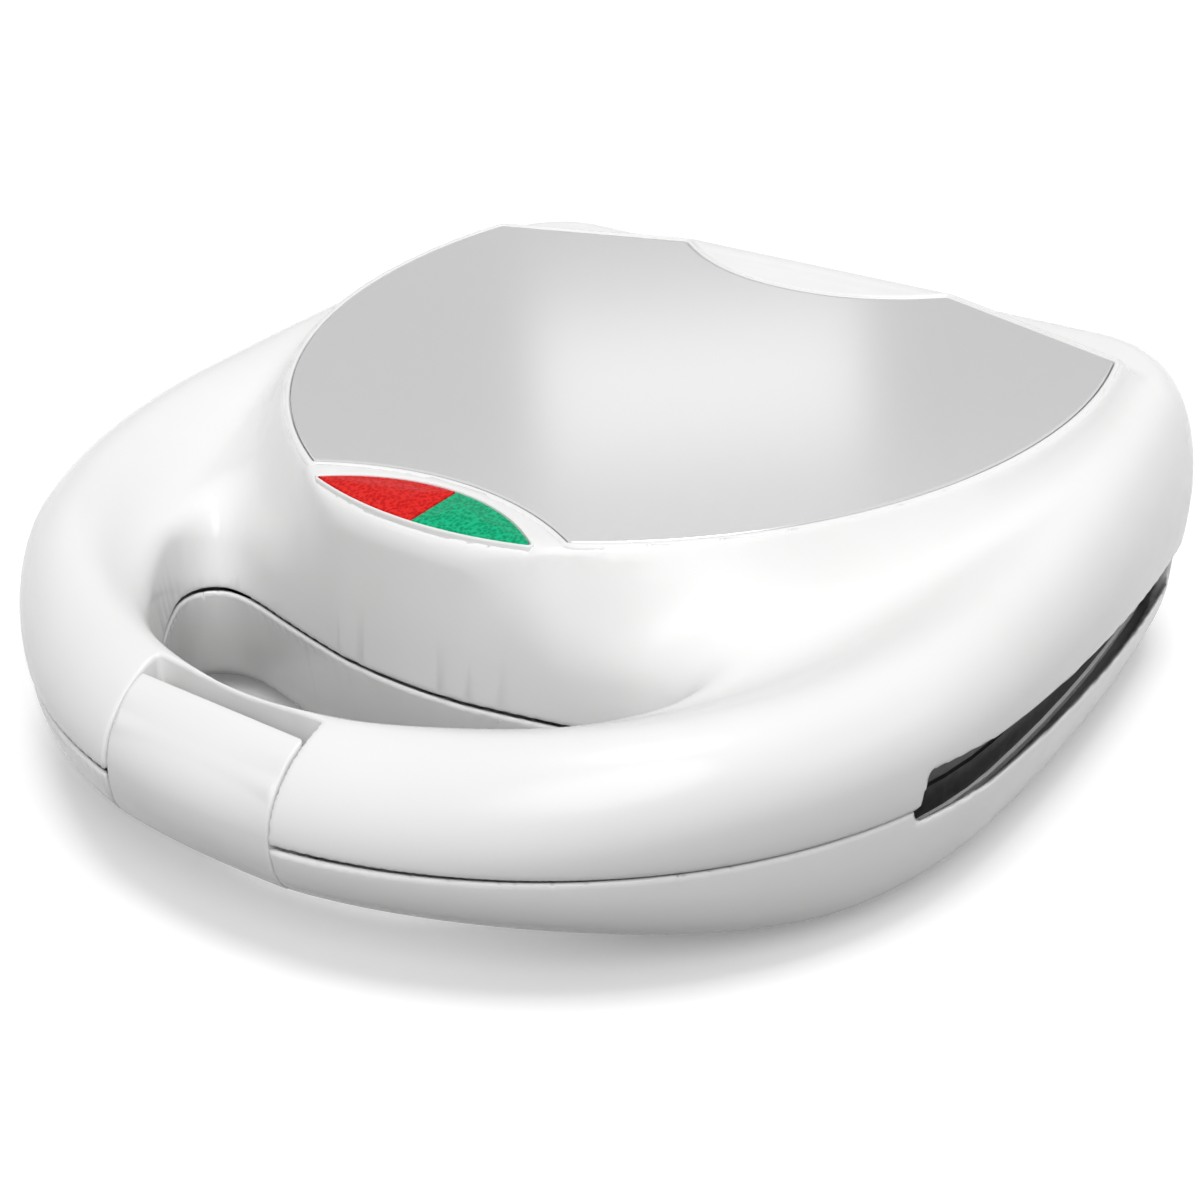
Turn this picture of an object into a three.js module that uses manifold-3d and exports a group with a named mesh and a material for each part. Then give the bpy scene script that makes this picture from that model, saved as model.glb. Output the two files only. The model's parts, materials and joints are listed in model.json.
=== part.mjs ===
// A countertop sandwich maker: a D-shaped lid hinged at the back of a matching base,
// with a crescent finger hole behind the latch at the front and two pocketed hot plates inside.
// Millimetres, +Z up, front towards -Y. The origin is on the ground under the middle of the object.
// The shells are drawn from the seam: y is counted back from the seam's front point and z up from the seam.
import * as THREE from "three";
import { mergeVertices } from "three/addons/utils/BufferGeometryUtils.js";
import Module from "manifold-3d";

// Seam outline, seen from above
const SEAM_HALF_WIDTH = 111;
const SEAM_DEPTH = 231;
const SIDE_RADIUS = 520;
const CORNER_RADIUS = 31;
const SEAM_GAP = 0.6;
const WALL = 2.6;
const CLEARANCE = 0.3;
const OVERRUN = 20;

// Lid, heights above the seam
const RIM_BULGE = 2.1;
const RIM_WIDEST_FRONT = 7;
const RIM_WIDEST_BACK = 14.5;
const CREST_FRONT = 21;
const CREST_BACK = 44.6;
const CREST_BEND_SHARE = 0.5;
const SHOULDER_FRONT = 12;
const SHOULDER_BACK = 12.5;
const SLIM_LENGTH = 50;
const SLIM_WIDEST = 6.5;
const SLIM_CREST = 5;
const SLIM_SHOULDER = 6;
const RIM_FALL = 13;
const RIM_FALL_WIDTH = 22;
const RIM_FALL_END_SHARE = 0.8;
const SHOULDER_GROWTH_SHARE = 1.5;
const DOME_FALL = 22;
const DOME_REACH = 8;
const DOME_MARGIN = 1.5;
const DOME_EDGE_EASE = 2;
const DOME_BLEND = 7;
const BULGE_RING_SHARES = [0, 0.45, 0.8];
const PLATEAU_RING_SHARE = 0.5;

// Top panel of metal
const PANEL_FRONT_HALF = 33;
const PANEL_FRONT_Y = 74;
const PANEL_FRONT_HEIGHT = 35.5;
const PANEL_RISE = 10;
const PANEL_SIDE_INSET = 25.5;
const PANEL_BACK_INSET = 30;
const PANEL_BACK_HALF = SEAM_HALF_WIDTH - PANEL_SIDE_INSET;
const PANEL_BACK_Y = SEAM_DEPTH - PANEL_BACK_INSET;
const PANEL_SIDE_BULGE = 24;
const PANEL_FRONT_HOLLOW = 8.5;
const FRONT_BOW_SHARE = 0.25;
const PANEL_BACK_CROWN = 14.2;
const NOTCH_HALF = 37;
const NOTCH_DEPTH = 13.8;
const NOTCH_CURVE_POWER = 2.2;
const PANEL_THICKNESS = 1;

// Indicator lens in front of the panel, split in two colours
const LENS_HALF = 27.5;
const LENS_Y = 69.2;
const LENS_FRONT_BULGE = 4.4;
const LENS_BACK_BULGE = 9.5;
const LENS_THICKNESS = 3;
const LENS_SPLIT = 0.3;
const LENS_SPLIT_OFFSET = 1.2;
const DOME_FRONT_BULGE = 12.5;

// Finger hole, a crescent through lid and base
const HANDLE_END_WIDTH = 48.7;
const HOLE_HALF = SEAM_HALF_WIDTH - HANDLE_END_WIDTH;
const HOLE_FRONT_Y = 20.8;
const HOLE_DEPTH = 39.4;
const HOLE_SPAN_SHARES = [
  [0, 1], [0.225, 1.02], [0.385, 1.066], [0.578, 1.135], [0.77, 1.209], [0.899, 1.233], [0.979, 1.172],
  [1, 1.037], [0.947, 0.865], [0.803, 0.582], [0.594, 0.275], [0.369, 0.091], [0, 0]];
const HOLE_END_FROM_SHARE = 0.35;
const HOLE_END_WIDTH_SHARE = 0.5;
const HOLE_MIDDLE_SHARE = 0.5;
const HOLE_MIDDLE_BEND_SHARE = 0.64;
const HOLE_LEVEL_SHARES = [0, 0.4, 1];
const HANDLE_WALL_SLOPE = 10;
const DOME_WALL_SLOPE = 16;
const END_WALL_SLOPE = 2.2;

// Base, depths below the seam
const BASE_DEPTH_FRONT = 14;
const BASE_DEPTH = 24;
const BASE_DEEP_FROM_Y = 5;
const BASE_DEEP_WIDTH = 75;
const BASE_ROUND = 13;
const BASE_ROUND_POWER = 2.3;
const BASE_HOLE_SLOPE = 9;

// Side slots that show the edges of the hot plates; they sink a little towards the back
const SLOT_FRONT_Y = 81;
const SLOT_BACK_INSET = 20;
const SLOT_ABOVE = 8.8;
const SLOT_ABOVE_BACK = 3.5;
const SLOT_BELOW = 2.2;
const SLOT_BELOW_BACK = 5.4;

// Decks that close the two shells round the hot plates
const DECK_LEVEL = 6.5;
const DECK_THICKNESS = 2.2;
const DECK_LIP = 4;
const DECK_FIT = 0.8;

// Hot plates
const PLATE_INSET = 4.5;
const PLATE_FRONT_Y = 78;
const PLATE_BACK_INSET = 20;
const PLATE_BACK_Y = SEAM_DEPTH - PLATE_BACK_INSET;
const PLATE_WALL = 2;
const PLATE_FACE_GAP = 0.5;
const POCKET_DEPTH = 9;
const POCKET_HALF_SPLIT = 4;
const POCKET_SIDE_EDGE = 17.5;
const POCKET_FRONT_EDGE = 10;
const POCKET_BACK_EDGE = 9;
const POCKET_WIDTH = SEAM_HALF_WIDTH - PLATE_INSET - POCKET_SIDE_EDGE - POCKET_HALF_SPLIT;
const POCKET_FRONT_Y = PLATE_FRONT_Y + POCKET_FRONT_EDGE;
const POCKET_LENGTH = PLATE_BACK_Y - POCKET_BACK_EDGE - POCKET_FRONT_Y;
const POCKET_DIAGONAL_GAP = 5;
const POCKET_CORNER = 7;
const POCKET_DRAFT = 4;

// Heaters and reflectors behind the plates
const HEATER_RADIUS = 3.2;
const HEATER_SIDE_INSET = 41;
const HEATER_FRONT_INSET = 22;
const HEATER_BACK_INSET = 17;
const HEATER_HALF_WIDTH = SEAM_HALF_WIDTH - HEATER_SIDE_INSET;
const HEATER_FRONT_Y = PLATE_FRONT_Y + HEATER_FRONT_INSET;
const HEATER_BACK_Y = PLATE_BACK_Y - HEATER_BACK_INSET;
const HEATER_BEND = 10;
const HEATER_TAIL_HALF = 12;
const HEATER_TAIL = 16;
const REFLECTOR_THICKNESS = 0.8;
const REFLECTOR_SIDE_INSET = 27;
const REFLECTOR_FRONT_INSET = 14;
const REFLECTOR_BACK_INSET = 11;
const REFLECTOR_HALF_WIDTH = SEAM_HALF_WIDTH - REFLECTOR_SIDE_INSET;
const REFLECTOR_FRONT_Y = PLATE_FRONT_Y + REFLECTOR_FRONT_INSET;
const REFLECTOR_BACK_Y = PLATE_BACK_Y - REFLECTOR_BACK_INSET;
const REFLECTOR_RIM = 4;
const POST_RADIUS = 4;
const POST_INSET = 9;

// Latch at the front
const LATCH_HALF = 20.8;
const LATCH_GAP = 0.35;
const LATCH_SINK = 0.8;
const LATCH_SKIN = 2.4;
const LATCH_SIDE = 2;
const LATCH_BACK_Y = 9;
const LATCH_REAR_EDGE_Y = 13.4;
const LATCH_TOE_DEPTH = 12.6;
const LATCH_PIVOT_Y = 8;
const LATCH_PIVOT_Z = 8;
const LATCH_PIN_RADIUS = 1.5;
const LATCH_PIN_GRIP = 2.6;
const RECESS_FLOOR_Z = 3.2;
const RECESS_BACK_Y = 17.8;

// Hinge at the back
const HINGE_BEHIND = 2.6;
const HINGE_ABOVE = 0.8;
const HINGE_SPREAD = 60;
const KNUCKLE_RADIUS = 5.2;
const KNUCKLE_WIDTH = 11;
const KNUCKLE_WEB = 12;
const HINGE_PIN_RADIUS = 2;

// Feet, screws and the lead's inlet
const FOOT_RADIUS = 8;
const FOOT_HEIGHT = 4;
const FOOT_PROFILE_SHARES = [[0, 0], [0.9, 0], [1, 0.25], [0.94, 1], [0, 1]];
const FOOT_SIDE_INSET = 29;
const FOOT_BACK_INSET = 31;
const FOOT_FRONT_Y = 92;
const FOOT_X = SEAM_HALF_WIDTH - FOOT_SIDE_INSET;
const FOOT_BACK_Y = SEAM_DEPTH - FOOT_BACK_INSET;
const SCREW_RADIUS = 1.6;
const SCREW_HEAD_RADIUS = 3.2;
const SCREW_HEAD_HEIGHT = 1.8;
const BASE_SCREW_LENGTH = 14;
const LID_SCREW_LENGTH = 10.5;
const BOSS_RADIUS = 4;
const SCREW_SIDE_INSET = 33;
const SCREW_FRONT_INSET = 4.5;
const SCREW_BACK_INSET = 14;
const SCREW_FRONT_X = SEAM_HALF_WIDTH - SCREW_SIDE_INSET;
const SCREW_FRONT_Y = PLATE_FRONT_Y - SCREW_FRONT_INSET;
const SCREW_BACK_X = 58;
const SCREW_BACK_Y = SEAM_DEPTH - SCREW_BACK_INSET;
const INLET_RADIUS = 4;
const INLET_FLANGE_RADIUS = 6;
const INLET_FLANGE = 2;
const INLET_BORE_RADIUS = 3;
const INLET_LENGTH = 9;
const INLET_DEPTH = 14;
const INLET_X = -30;

// Electrical pieces in the lid
const LAMP_RADIUS = 2.6;
const LAMP_LENGTH = 9;
const LAMP_X = 12;
const LAMP_Y = 73.5;
const LAMP_TRAY_LENGTH = 46;
const LAMP_TRAY_WIDTH = 12;
const LAMP_BOSS_RADIUS = 2.2;
const LAMP_BOSS_INSET = 3;
const LAMP_TRAY_THICKNESS = 1.6;
const THERMOSTAT_RADIUS = 8;
const THERMOSTAT_HEIGHT = 7;
const THERMOSTAT_TAB_HALF = 12.8;
const SWITCH_SPACING = 24;
const FUSE_RADIUS = 2.5;
const FUSE_LENGTH = 26;
const TERMINAL_LENGTH = 30;
const TERMINAL_WIDTH = 12;
const TERMINAL_HEIGHT = 8;

// Fineness of the curves
const RAYS = 52;
const LID_STATIONS = 8;
const BASE_STATIONS = 4;
const ROUND_SIDES = 14;
const SURFACE_SAMPLES = 160;
const LOFT_CENTRE_SHARE = 0.528;
const LOFT_CENTRE_Y = SEAM_DEPTH * LOFT_CENTRE_SHARE;

const SEAM_HEIGHT = BASE_DEPTH + FOOT_HEIGHT;
const HINGE_Y = SEAM_DEPTH + HINGE_BEHIND;
const BOX_FRONT_Y = Math.min(...latchOuter().map(([y]) => y));
const BOX_BACK_Y = HINGE_Y + KNUCKLE_RADIUS;
const MIDDLE_Y = (BOX_FRONT_Y + BOX_BACK_Y) / 2;

const wasm = await Module();
wasm.setup();

const MATERIALS = {
  white: new THREE.MeshStandardMaterial({ color: 0xf1f1f0, roughness: 0.25, metalness: 0 }),
  panel: new THREE.MeshStandardMaterial({ color: 0xc9c9ca, roughness: 0.2, metalness: 0.9 }),
  red: new THREE.MeshStandardMaterial({ color: 0xdd2a26, roughness: 0.2, metalness: 0 }),
  green: new THREE.MeshStandardMaterial({ color: 0x12ad72, roughness: 0.2, metalness: 0 }),
  coating: new THREE.MeshStandardMaterial({ color: 0x333335, roughness: 0.5, metalness: 0.3 }),
  steel: new THREE.MeshStandardMaterial({ color: 0xb4b6b8, roughness: 0.35, metalness: 0.9 }),
  heater: new THREE.MeshStandardMaterial({ color: 0x6c6a66, roughness: 0.5, metalness: 0.7 }),
  rubber: new THREE.MeshStandardMaterial({ color: 0xd8d8d6, roughness: 0.8, metalness: 0 }),
  ceramic: new THREE.MeshStandardMaterial({ color: 0xe6dfcf, roughness: 0.6, metalness: 0 }),
  lamp: new THREE.MeshStandardMaterial({ color: 0xe9d9c8, roughness: 0.15, metalness: 0 }),
};

// Small curves

function clamp01(t) {
  return Math.min(1, Math.max(0, t));
}

function ease(t) {
  const u = clamp01(t);
  return u * u * (3 - 2 * u);
}

function mix(a, b, t) {
  return a + (b - a) * t;
}

function softMax(a, b, blend) {
  const near = Math.max(0, 1 - Math.abs(a - b) / blend);
  return Math.max(a, b) + (blend / 4) * near * near;
}

function softMin(a, b, blend) {
  return -softMax(-a, -b, blend);
}

// Points along an arc round a centre, both ends included.
function arc(centre, radius, from, to, steps) {
  return Array.from({ length: steps + 1 }, (_, i) => {
    const turn = mix(from, to, i / steps);
    return [centre[0] + radius * Math.cos(turn), centre[1] + radius * Math.sin(turn)];
  });
}

// Points along an arc from one point to another that bows to its right by the given rise.
function bow(from, to, rise, steps) {
  const chord = [to[0] - from[0], to[1] - from[1]];
  const length = Math.hypot(...chord);
  const size = Math.abs(rise);
  const radius = (length * length / 4 + size * size) / (2 * size);
  const side = Math.sign(rise);
  const right = [chord[1] / length * side, -chord[0] / length * side];
  const centre = [0, 1].map((k) => (from[k] + to[k]) / 2 - right[k] * (radius - size));
  const start = Math.atan2(from[1] - centre[1], from[0] - centre[0]);
  const half = Math.asin(length / 2 / radius);
  return arc(centre, radius, start, start + 2 * half * side, steps);
}

// A right half outline from the front to the back, closed by its own mirror image.
function mirrored(right) {
  const middle = (point) => Math.abs(point[0]) < CLEARANCE;
  const left = right.filter((point) => !middle(point)).reverse().map(([x, y]) => [-x, y]);
  return [...right, ...left];
}

// Outlines

function seamOutline(grow) {
  const sideCentre = [SEAM_HALF_WIDTH - SIDE_RADIUS, SEAM_HALF_WIDTH];
  const reach = SIDE_RADIUS - CORNER_RADIUS;
  const cornerY = SEAM_DEPTH - CORNER_RADIUS;
  const turn = Math.asin((cornerY - SEAM_HALF_WIDTH) / reach);
  const cornerX = sideCentre[0] + reach * Math.cos(turn);
  return mirrored([
    ...arc([0, SEAM_HALF_WIDTH], SEAM_HALF_WIDTH + grow, -Math.PI / 2, 0, 20).slice(0, -1),
    ...arc(sideCentre, SIDE_RADIUS + grow, 0, turn, 8).slice(0, -1),
    ...arc([cornerX, cornerY], CORNER_RADIUS + grow, turn, Math.PI / 2, 8),
  ]);
}

function panelSide() {
  return bow([PANEL_FRONT_HALF, PANEL_FRONT_Y], [PANEL_BACK_HALF, PANEL_BACK_Y], PANEL_SIDE_BULGE, 14);
}

function panelOutline() {
  const crownY = PANEL_BACK_Y + PANEL_BACK_CROWN;
  const notch = Array.from({ length: 9 }, (_, i) => {
    const share = 1 - i / 8;
    return [NOTCH_HALF * share, crownY - NOTCH_DEPTH * (1 - share ** NOTCH_CURVE_POWER)];
  });
  const front = bow([0, PANEL_FRONT_Y + PANEL_FRONT_HOLLOW], [PANEL_FRONT_HALF, PANEL_FRONT_Y],
    -PANEL_FRONT_HOLLOW * FRONT_BOW_SHARE, 5);
  return mirrored([...front.slice(0, -1), ...panelSide(), ...notch]);
}

// The raised part of the lid: the panel with the lens in front of it and the notch filled.
function domeOutline() {
  const front = bow([0, PANEL_FRONT_Y - DOME_FRONT_BULGE], [PANEL_FRONT_HALF, PANEL_FRONT_Y],
    DOME_FRONT_BULGE * FRONT_BOW_SHARE, 5);
  const back = [[NOTCH_HALF, PANEL_BACK_Y + PANEL_BACK_CROWN], [0, PANEL_BACK_Y + PANEL_BACK_CROWN]];
  return mirrored([...front.slice(0, -1), ...panelSide(), ...back]);
}

function holeOutline() {
  const right = HOLE_SPAN_SHARES.map(([x, y]) => [HOLE_HALF * x, HOLE_FRONT_Y + HOLE_DEPTH * y]);
  const knots = mirrored(right).map(([x, y]) => new THREE.Vector3(x, y, 0));
  const curve = new THREE.CatmullRomCurve3(knots, true, "catmullrom", 0.5);
  return curve.getPoints(knots.length * 2).slice(0, -1).map((point) => [point.x, point.y]).reverse();
}

function inwards(outline) {
  return THREE.ShapeUtils.isClockWise(outline.map(([x, y]) => new THREE.Vector2(x, y))) ? -1 : 1;
}

// Moves each point of an outline outwards along the mean normal of its two sides.
function moved(outline, distanceAt) {
  const side = inwards(outline);
  return outline.map((point, i) => {
    const before = outline.at(i - 1);
    const after = outline[(i + 1) % outline.length];
    const one = new THREE.Vector2(point[1] - before[1], before[0] - point[0]).normalize();
    const two = new THREE.Vector2(after[1] - point[1], point[0] - after[0]).normalize();
    const normal = one.clone().add(two).normalize();
    const stretch = side * distanceAt(point) * Math.min(2, 1 / Math.max(0.1, normal.dot(one)));
    return [point[0] + normal.x * stretch, point[1] + normal.y * stretch];
  });
}

function grown(outline, distance) {
  return moved(outline, () => distance);
}

// How far a point lies inside a closed outline, negative outside it.
function depthInside(outline, x, y) {
  let nearest = Infinity;
  let within = false;
  outline.forEach(([ax, ay], i) => {
    const [bx, by] = outline[(i + 1) % outline.length];
    const ex = bx - ax;
    const ey = by - ay;
    const along = clamp01(((x - ax) * ex + (y - ay) * ey) / (ex * ex + ey * ey));
    nearest = Math.min(nearest, Math.hypot(x - ax - along * ex, y - ay - along * ey));
    if ((ay <= y) !== (by <= y) && x < ax + ex * (y - ay) / ey) {
      within = !within;
    }
  });
  return within ? nearest : -nearest;
}

const OUTLINES = {
  seam: seamOutline(0),
  dome: domeOutline(),
  hole: holeOutline(),
  underside: grown(seamOutline(0), -BASE_ROUND),
};

// Surface of the lid

function backShare(y) {
  return clamp01(y / SEAM_DEPTH);
}

// One at the latch, where the rim is slimmest, and zero from the slim length on.
function slimShare(y) {
  return 1 - ease(y / SLIM_LENGTH);
}

function rimBulge(y) {
  return RIM_BULGE * (1 - slimShare(y));
}

function crestHeight(y) {
  const t = backShare(y);
  const full = mix(CREST_FRONT, CREST_BACK, (1 - CREST_BEND_SHARE) * t + CREST_BEND_SHARE * t * t);
  return full - SLIM_CREST * slimShare(y);
}

function widestHeight(y) {
  const full = mix(RIM_WIDEST_FRONT, RIM_WIDEST_BACK, clamp01(SHOULDER_GROWTH_SHARE * backShare(y)));
  return full - SLIM_WIDEST * slimShare(y);
}

function shoulderWidth(y) {
  const full = mix(SHOULDER_FRONT, SHOULDER_BACK, clamp01(SHOULDER_GROWTH_SHARE * backShare(y)));
  return full + SLIM_SHOULDER * slimShare(y);
}

// Height of the rim's rounded section at a distance in from its widest point.
function rimRounding(inward, y, wall) {
  const rounding = Math.sqrt(Math.max(0, 1 - (1 - clamp01(inward / shoulderWidth(y))) ** 2));
  return widestHeight(y) + (crestHeight(y) - wall - widestHeight(y)) * rounding;
}

function panelPlane(y) {
  return PANEL_FRONT_HEIGHT + PANEL_RISE * (y - PANEL_FRONT_Y) / (PANEL_BACK_Y - PANEL_FRONT_Y);
}

function rimTop(x, y, wall) {
  const inward = depthInside(OUTLINES.seam, x, y) + rimBulge(y) - wall;
  const fall = RIM_FALL * clamp01(1 - backShare(y) / RIM_FALL_END_SHARE);
  return rimRounding(inward, y, wall) - fall * ease((inward - shoulderWidth(y)) / RIM_FALL_WIDTH);
}

function domeTop(x, y, wall) {
  const outward = Math.max(0, wall - DOME_MARGIN - depthInside(OUTLINES.dome, x, y));
  const run = outward * outward / (DOME_REACH * (outward + DOME_EDGE_EASE));
  return panelPlane(y) - wall - DOME_FALL * (1 - Math.exp(-run));
}

// The finger hole's wall is steep on the handle's side and slopes back at the ends of the dome's side.
function holeSlope([x, y]) {
  const end = ease((Math.abs(x) / HOLE_HALF - HOLE_END_FROM_SHARE) / HOLE_END_WIDTH_SHARE);
  const middleShare = HOLE_MIDDLE_SHARE + HOLE_MIDDLE_BEND_SHARE * (x / HOLE_HALF) ** 2;
  const side = ease((y - HOLE_FRONT_Y - HOLE_DEPTH * middleShare) / (HOLE_DEPTH / 4) + HOLE_MIDDLE_SHARE);
  return mix(HANDLE_WALL_SLOPE, mix(DOME_WALL_SLOPE, END_WALL_SLOPE, end), side);
}

function lidTop(x, y, wall) {
  return softMax(rimTop(x, y, wall), domeTop(x, y, wall), DOME_BLEND);
}

// Surface of the base, as a depth below the seam

function baseDepth(x, y, wall) {
  const full = mix(BASE_DEPTH_FRONT, BASE_DEPTH, ease((y - BASE_DEEP_FROM_Y) / BASE_DEEP_WIDTH)) - wall;
  const inward = clamp01((depthInside(OUTLINES.seam, x, y) - wall) / BASE_ROUND);
  return full * (1 - (1 - inward) ** BASE_ROUND_POWER) ** (1 / BASE_ROUND_POWER);
}

// Solids

function solidOf(geometry) {
  const bare = geometry.index ? geometry.toNonIndexed() : geometry;
  const positions = new THREE.BufferGeometry();
  positions.setAttribute("position", bare.getAttribute("position"));
  const merged = mergeVertices(positions, 1e-5);
  const vertProperties = new Float32Array(merged.getAttribute("position").array);
  const triVerts = new Uint32Array(merged.index.array);
  return new wasm.Manifold(new wasm.Mesh({ numProp: 3, vertProperties, triVerts }));
}

function geometryOf(solid) {
  const mesh = solid.getMesh();
  const geometry = new THREE.BufferGeometry();
  geometry.setAttribute("position", new THREE.BufferAttribute(new Float32Array(mesh.vertProperties), 3));
  geometry.setIndex(new THREE.BufferAttribute(new Uint32Array(mesh.triVerts), 1));
  return geometry;
}

function triangleSolid(points, faces) {
  const geometry = new THREE.BufferGeometry();
  geometry.setAttribute("position", new THREE.Float32BufferAttribute(points.flat(), 3));
  geometry.setIndex(faces.flat());
  return solidOf(geometry);
}

// A closed solid from rings of equal counts. The rings run counterclockwise as seen from the last one,
// and flat gives the two coordinates in which an end ring is filled.
function loft(rings, flat = ([x, y]) => new THREE.Vector2(x, y)) {
  const count = rings[0].length;
  const last = (rings.length - 1) * count;
  const faces = [];
  for (let low = 0; low < last; low += count) {
    for (let i = 0; i < count; i++) {
      const j = (i + 1) % count;
      faces.push([low + i, low + j, low + count + j], [low + i, low + count + j, low + count + i]);
    }
  }
  THREE.ShapeUtils.triangulateShape(rings[0].map(flat), []).forEach(([a, b, c]) => faces.push([a, c, b]));
  THREE.ShapeUtils.triangulateShape(rings.at(-1).map(flat), []).forEach(
    ([a, b, c]) => faces.push([last + a, last + b, last + c]));
  return triangleSolid(rings.flat(), faces);
}

// Radius at which a ray from the loft's middle leaves an outline.
function reach(outline, angle) {
  const dx = Math.cos(angle);
  const dy = Math.sin(angle);
  let best = 0;
  outline.forEach(([ax, ay], i) => {
    const [bx, by] = outline[(i + 1) % outline.length];
    const sideA = dx * (ay - LOFT_CENTRE_Y) - dy * ax;
    const sideB = dx * (by - LOFT_CENTRE_Y) - dy * bx;
    if ((sideA <= 0) !== (sideB <= 0)) {
      const share = sideA / (sideA - sideB);
      best = Math.max(best, mix(ax, bx, share) * dx + (mix(ay, by, share) - LOFT_CENTRE_Y) * dy);
    }
  });
  return best;
}

// Radii along one ray from outside to a limit, set so that equal lengths of surface lie between them.
function evenRadii(height, angle, outer, inner, count) {
  const samples = Array.from({ length: SURFACE_SAMPLES + 1 }, (_, i) => {
    const radius = mix(outer, inner, i / SURFACE_SAMPLES);
    return [radius, height(radius * Math.cos(angle), LOFT_CENTRE_Y + radius * Math.sin(angle))];
  });
  const lengths = [0];
  for (let i = 1; i < samples.length; i++) {
    const step = Math.hypot(samples[i][0] - samples[i - 1][0], samples[i][1] - samples[i - 1][1]);
    lengths.push(lengths[i - 1] + step);
  }
  return Array.from({ length: count }, (_, k) => {
    const wanted = lengths.at(-1) * k / count;
    const i = Math.max(1, lengths.findIndex((length) => length >= wanted));
    return mix(samples[i - 1][0], samples[i][0], (wanted - lengths[i - 1]) / (lengths[i] - lengths[i - 1]));
  });
}

// A shell's outer body: a straight skirt from beyond the seam, the bulge, then the surface up to the plateau
// and across it.
function shellBody(grow, bulge, height, widest, stations, plateau) {
  const seam = seamOutline(grow);
  const rim = moved(seamOutline(0), ([, y]) => grow + bulge(y));
  const angles = Array.from({ length: RAYS }, (_, i) => (i / RAYS) * 2 * Math.PI - Math.PI / 2);
  const at = (radius, angle, z) => [radius * Math.cos(angle), LOFT_CENTRE_Y + radius * Math.sin(angle), z];
  const rings = [angles.map((angle) => at(reach(seam, angle), angle, -OVERRUN))];
  BULGE_RING_SHARES.forEach((share) => rings.push(angles.map((angle) => {
    const turn = share * Math.PI / 2;
    const radius = mix(reach(seam, angle), reach(rim, angle), Math.sin(turn));
    const y = LOFT_CENTRE_Y + radius * Math.sin(angle);
    return at(radius, angle, widest(y) * (1 - Math.cos(turn)));
  })));
  const radii = angles.map((angle) => {
    const edge = reach(plateau, angle);
    return [...evenRadii(height, angle, reach(rim, angle), edge, stations), edge, edge * PLATEAU_RING_SHARE];
  });
  for (let k = 0; k < stations + 2; k++) {
    rings.push(angles.map((angle, i) => {
      const [x, y] = at(radii[i][k], angle, 0);
      return at(radii[i][k], angle, height(x, y));
    }));
  }
  return loft(rings);
}

function prism(outline, bottom, top) {
  const shape = new THREE.Shape(outline.map(([x, y]) => new THREE.Vector2(x, y)));
  const geometry = new THREE.ExtrudeGeometry(shape, { depth: top - bottom, bevelEnabled: false });
  return solidOf(geometry.translate(0, 0, bottom));
}

function block(low, high) {
  const size = high.map((value, k) => value - low[k]);
  const middle = high.map((value, k) => (value + low[k]) / 2);
  return solidOf(new THREE.BoxGeometry(...size).translate(...middle));
}

function post(x, y, radius, bottom, top, sides = ROUND_SIDES) {
  const geometry = new THREE.CylinderGeometry(radius, radius, top - bottom, sides);
  return solidOf(geometry.rotateX(Math.PI / 2).translate(x, y, (bottom + top) / 2));
}

function crossRod(x, y, z, radius, width, sides = ROUND_SIDES) {
  const geometry = new THREE.CylinderGeometry(radius, radius, width, sides);
  return solidOf(geometry.rotateZ(Math.PI / 2).translate(x, y, z));
}

// A profile in y and z, swept straight across x.
function crossPrism(profile, low, high) {
  const shape = new THREE.Shape(profile.map(([y, z]) => new THREE.Vector2(y, z)));
  const geometry = new THREE.ExtrudeGeometry(shape, { depth: high - low, bevelEnabled: false });
  const turn = new THREE.Matrix4().makeBasis(
    new THREE.Vector3(0, 1, 0), new THREE.Vector3(0, 0, 1), new THREE.Vector3(1, 0, 0));
  return solidOf(geometry.applyMatrix4(turn).translate(low, 0, 0));
}

function turned(solid) {
  return solidOf(geometryOf(solid).rotateY(Math.PI));
}

function joined(solids) {
  return solids.reduce((sum, solid) => sum.add(solid));
}

// The scene graph

const sandwichMaker = new THREE.Group();
sandwichMaker.name = "sandwich_maker";
sandwichMaker.position.set(0, -MIDDLE_Y, SEAM_HEIGHT);
const base = new THREE.Group();
const lid = new THREE.Group();
const latch = new THREE.Group();
sandwichMaker.add(base, lid);
lid.add(latch);

function place(parent, name, solid, material) {
  const geometry = solid instanceof THREE.BufferGeometry ? solid : geometryOf(solid);
  const mesh = new THREE.Mesh(geometry, material);
  mesh.name = name;
  parent.add(mesh);
  return mesh;
}

const FAR = SEAM_HALF_WIDTH + OVERRUN * 2;
const ABOVE_SEAM = block([-FAR, -FAR, SEAM_GAP / 2], [FAR, SEAM_DEPTH + FAR, CREST_BACK + FAR]);
const BELOW_SEAM = block([-FAR, -FAR, -BASE_DEPTH - FAR], [FAR, SEAM_DEPTH + FAR, -SEAM_GAP / 2]);

// Screws, bosses and posts stand at these places on both halves.
const SCREW_PLACES = [
  [-SCREW_FRONT_X, SCREW_FRONT_Y], [SCREW_FRONT_X, SCREW_FRONT_Y],
  [-SCREW_BACK_X, SCREW_BACK_Y], [SCREW_BACK_X, SCREW_BACK_Y]];
const POST_X = REFLECTOR_HALF_WIDTH - POST_INSET;
const POST_PLACES = [
  [-POST_X, REFLECTOR_FRONT_Y + POST_INSET], [POST_X, REFLECTOR_FRONT_Y + POST_INSET],
  [-POST_X, REFLECTOR_BACK_Y - POST_INSET], [POST_X, REFLECTOR_BACK_Y - POST_INSET]];
const CORNER_NAMES = ["front_left", "front_right", "back_left", "back_right"];

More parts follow.
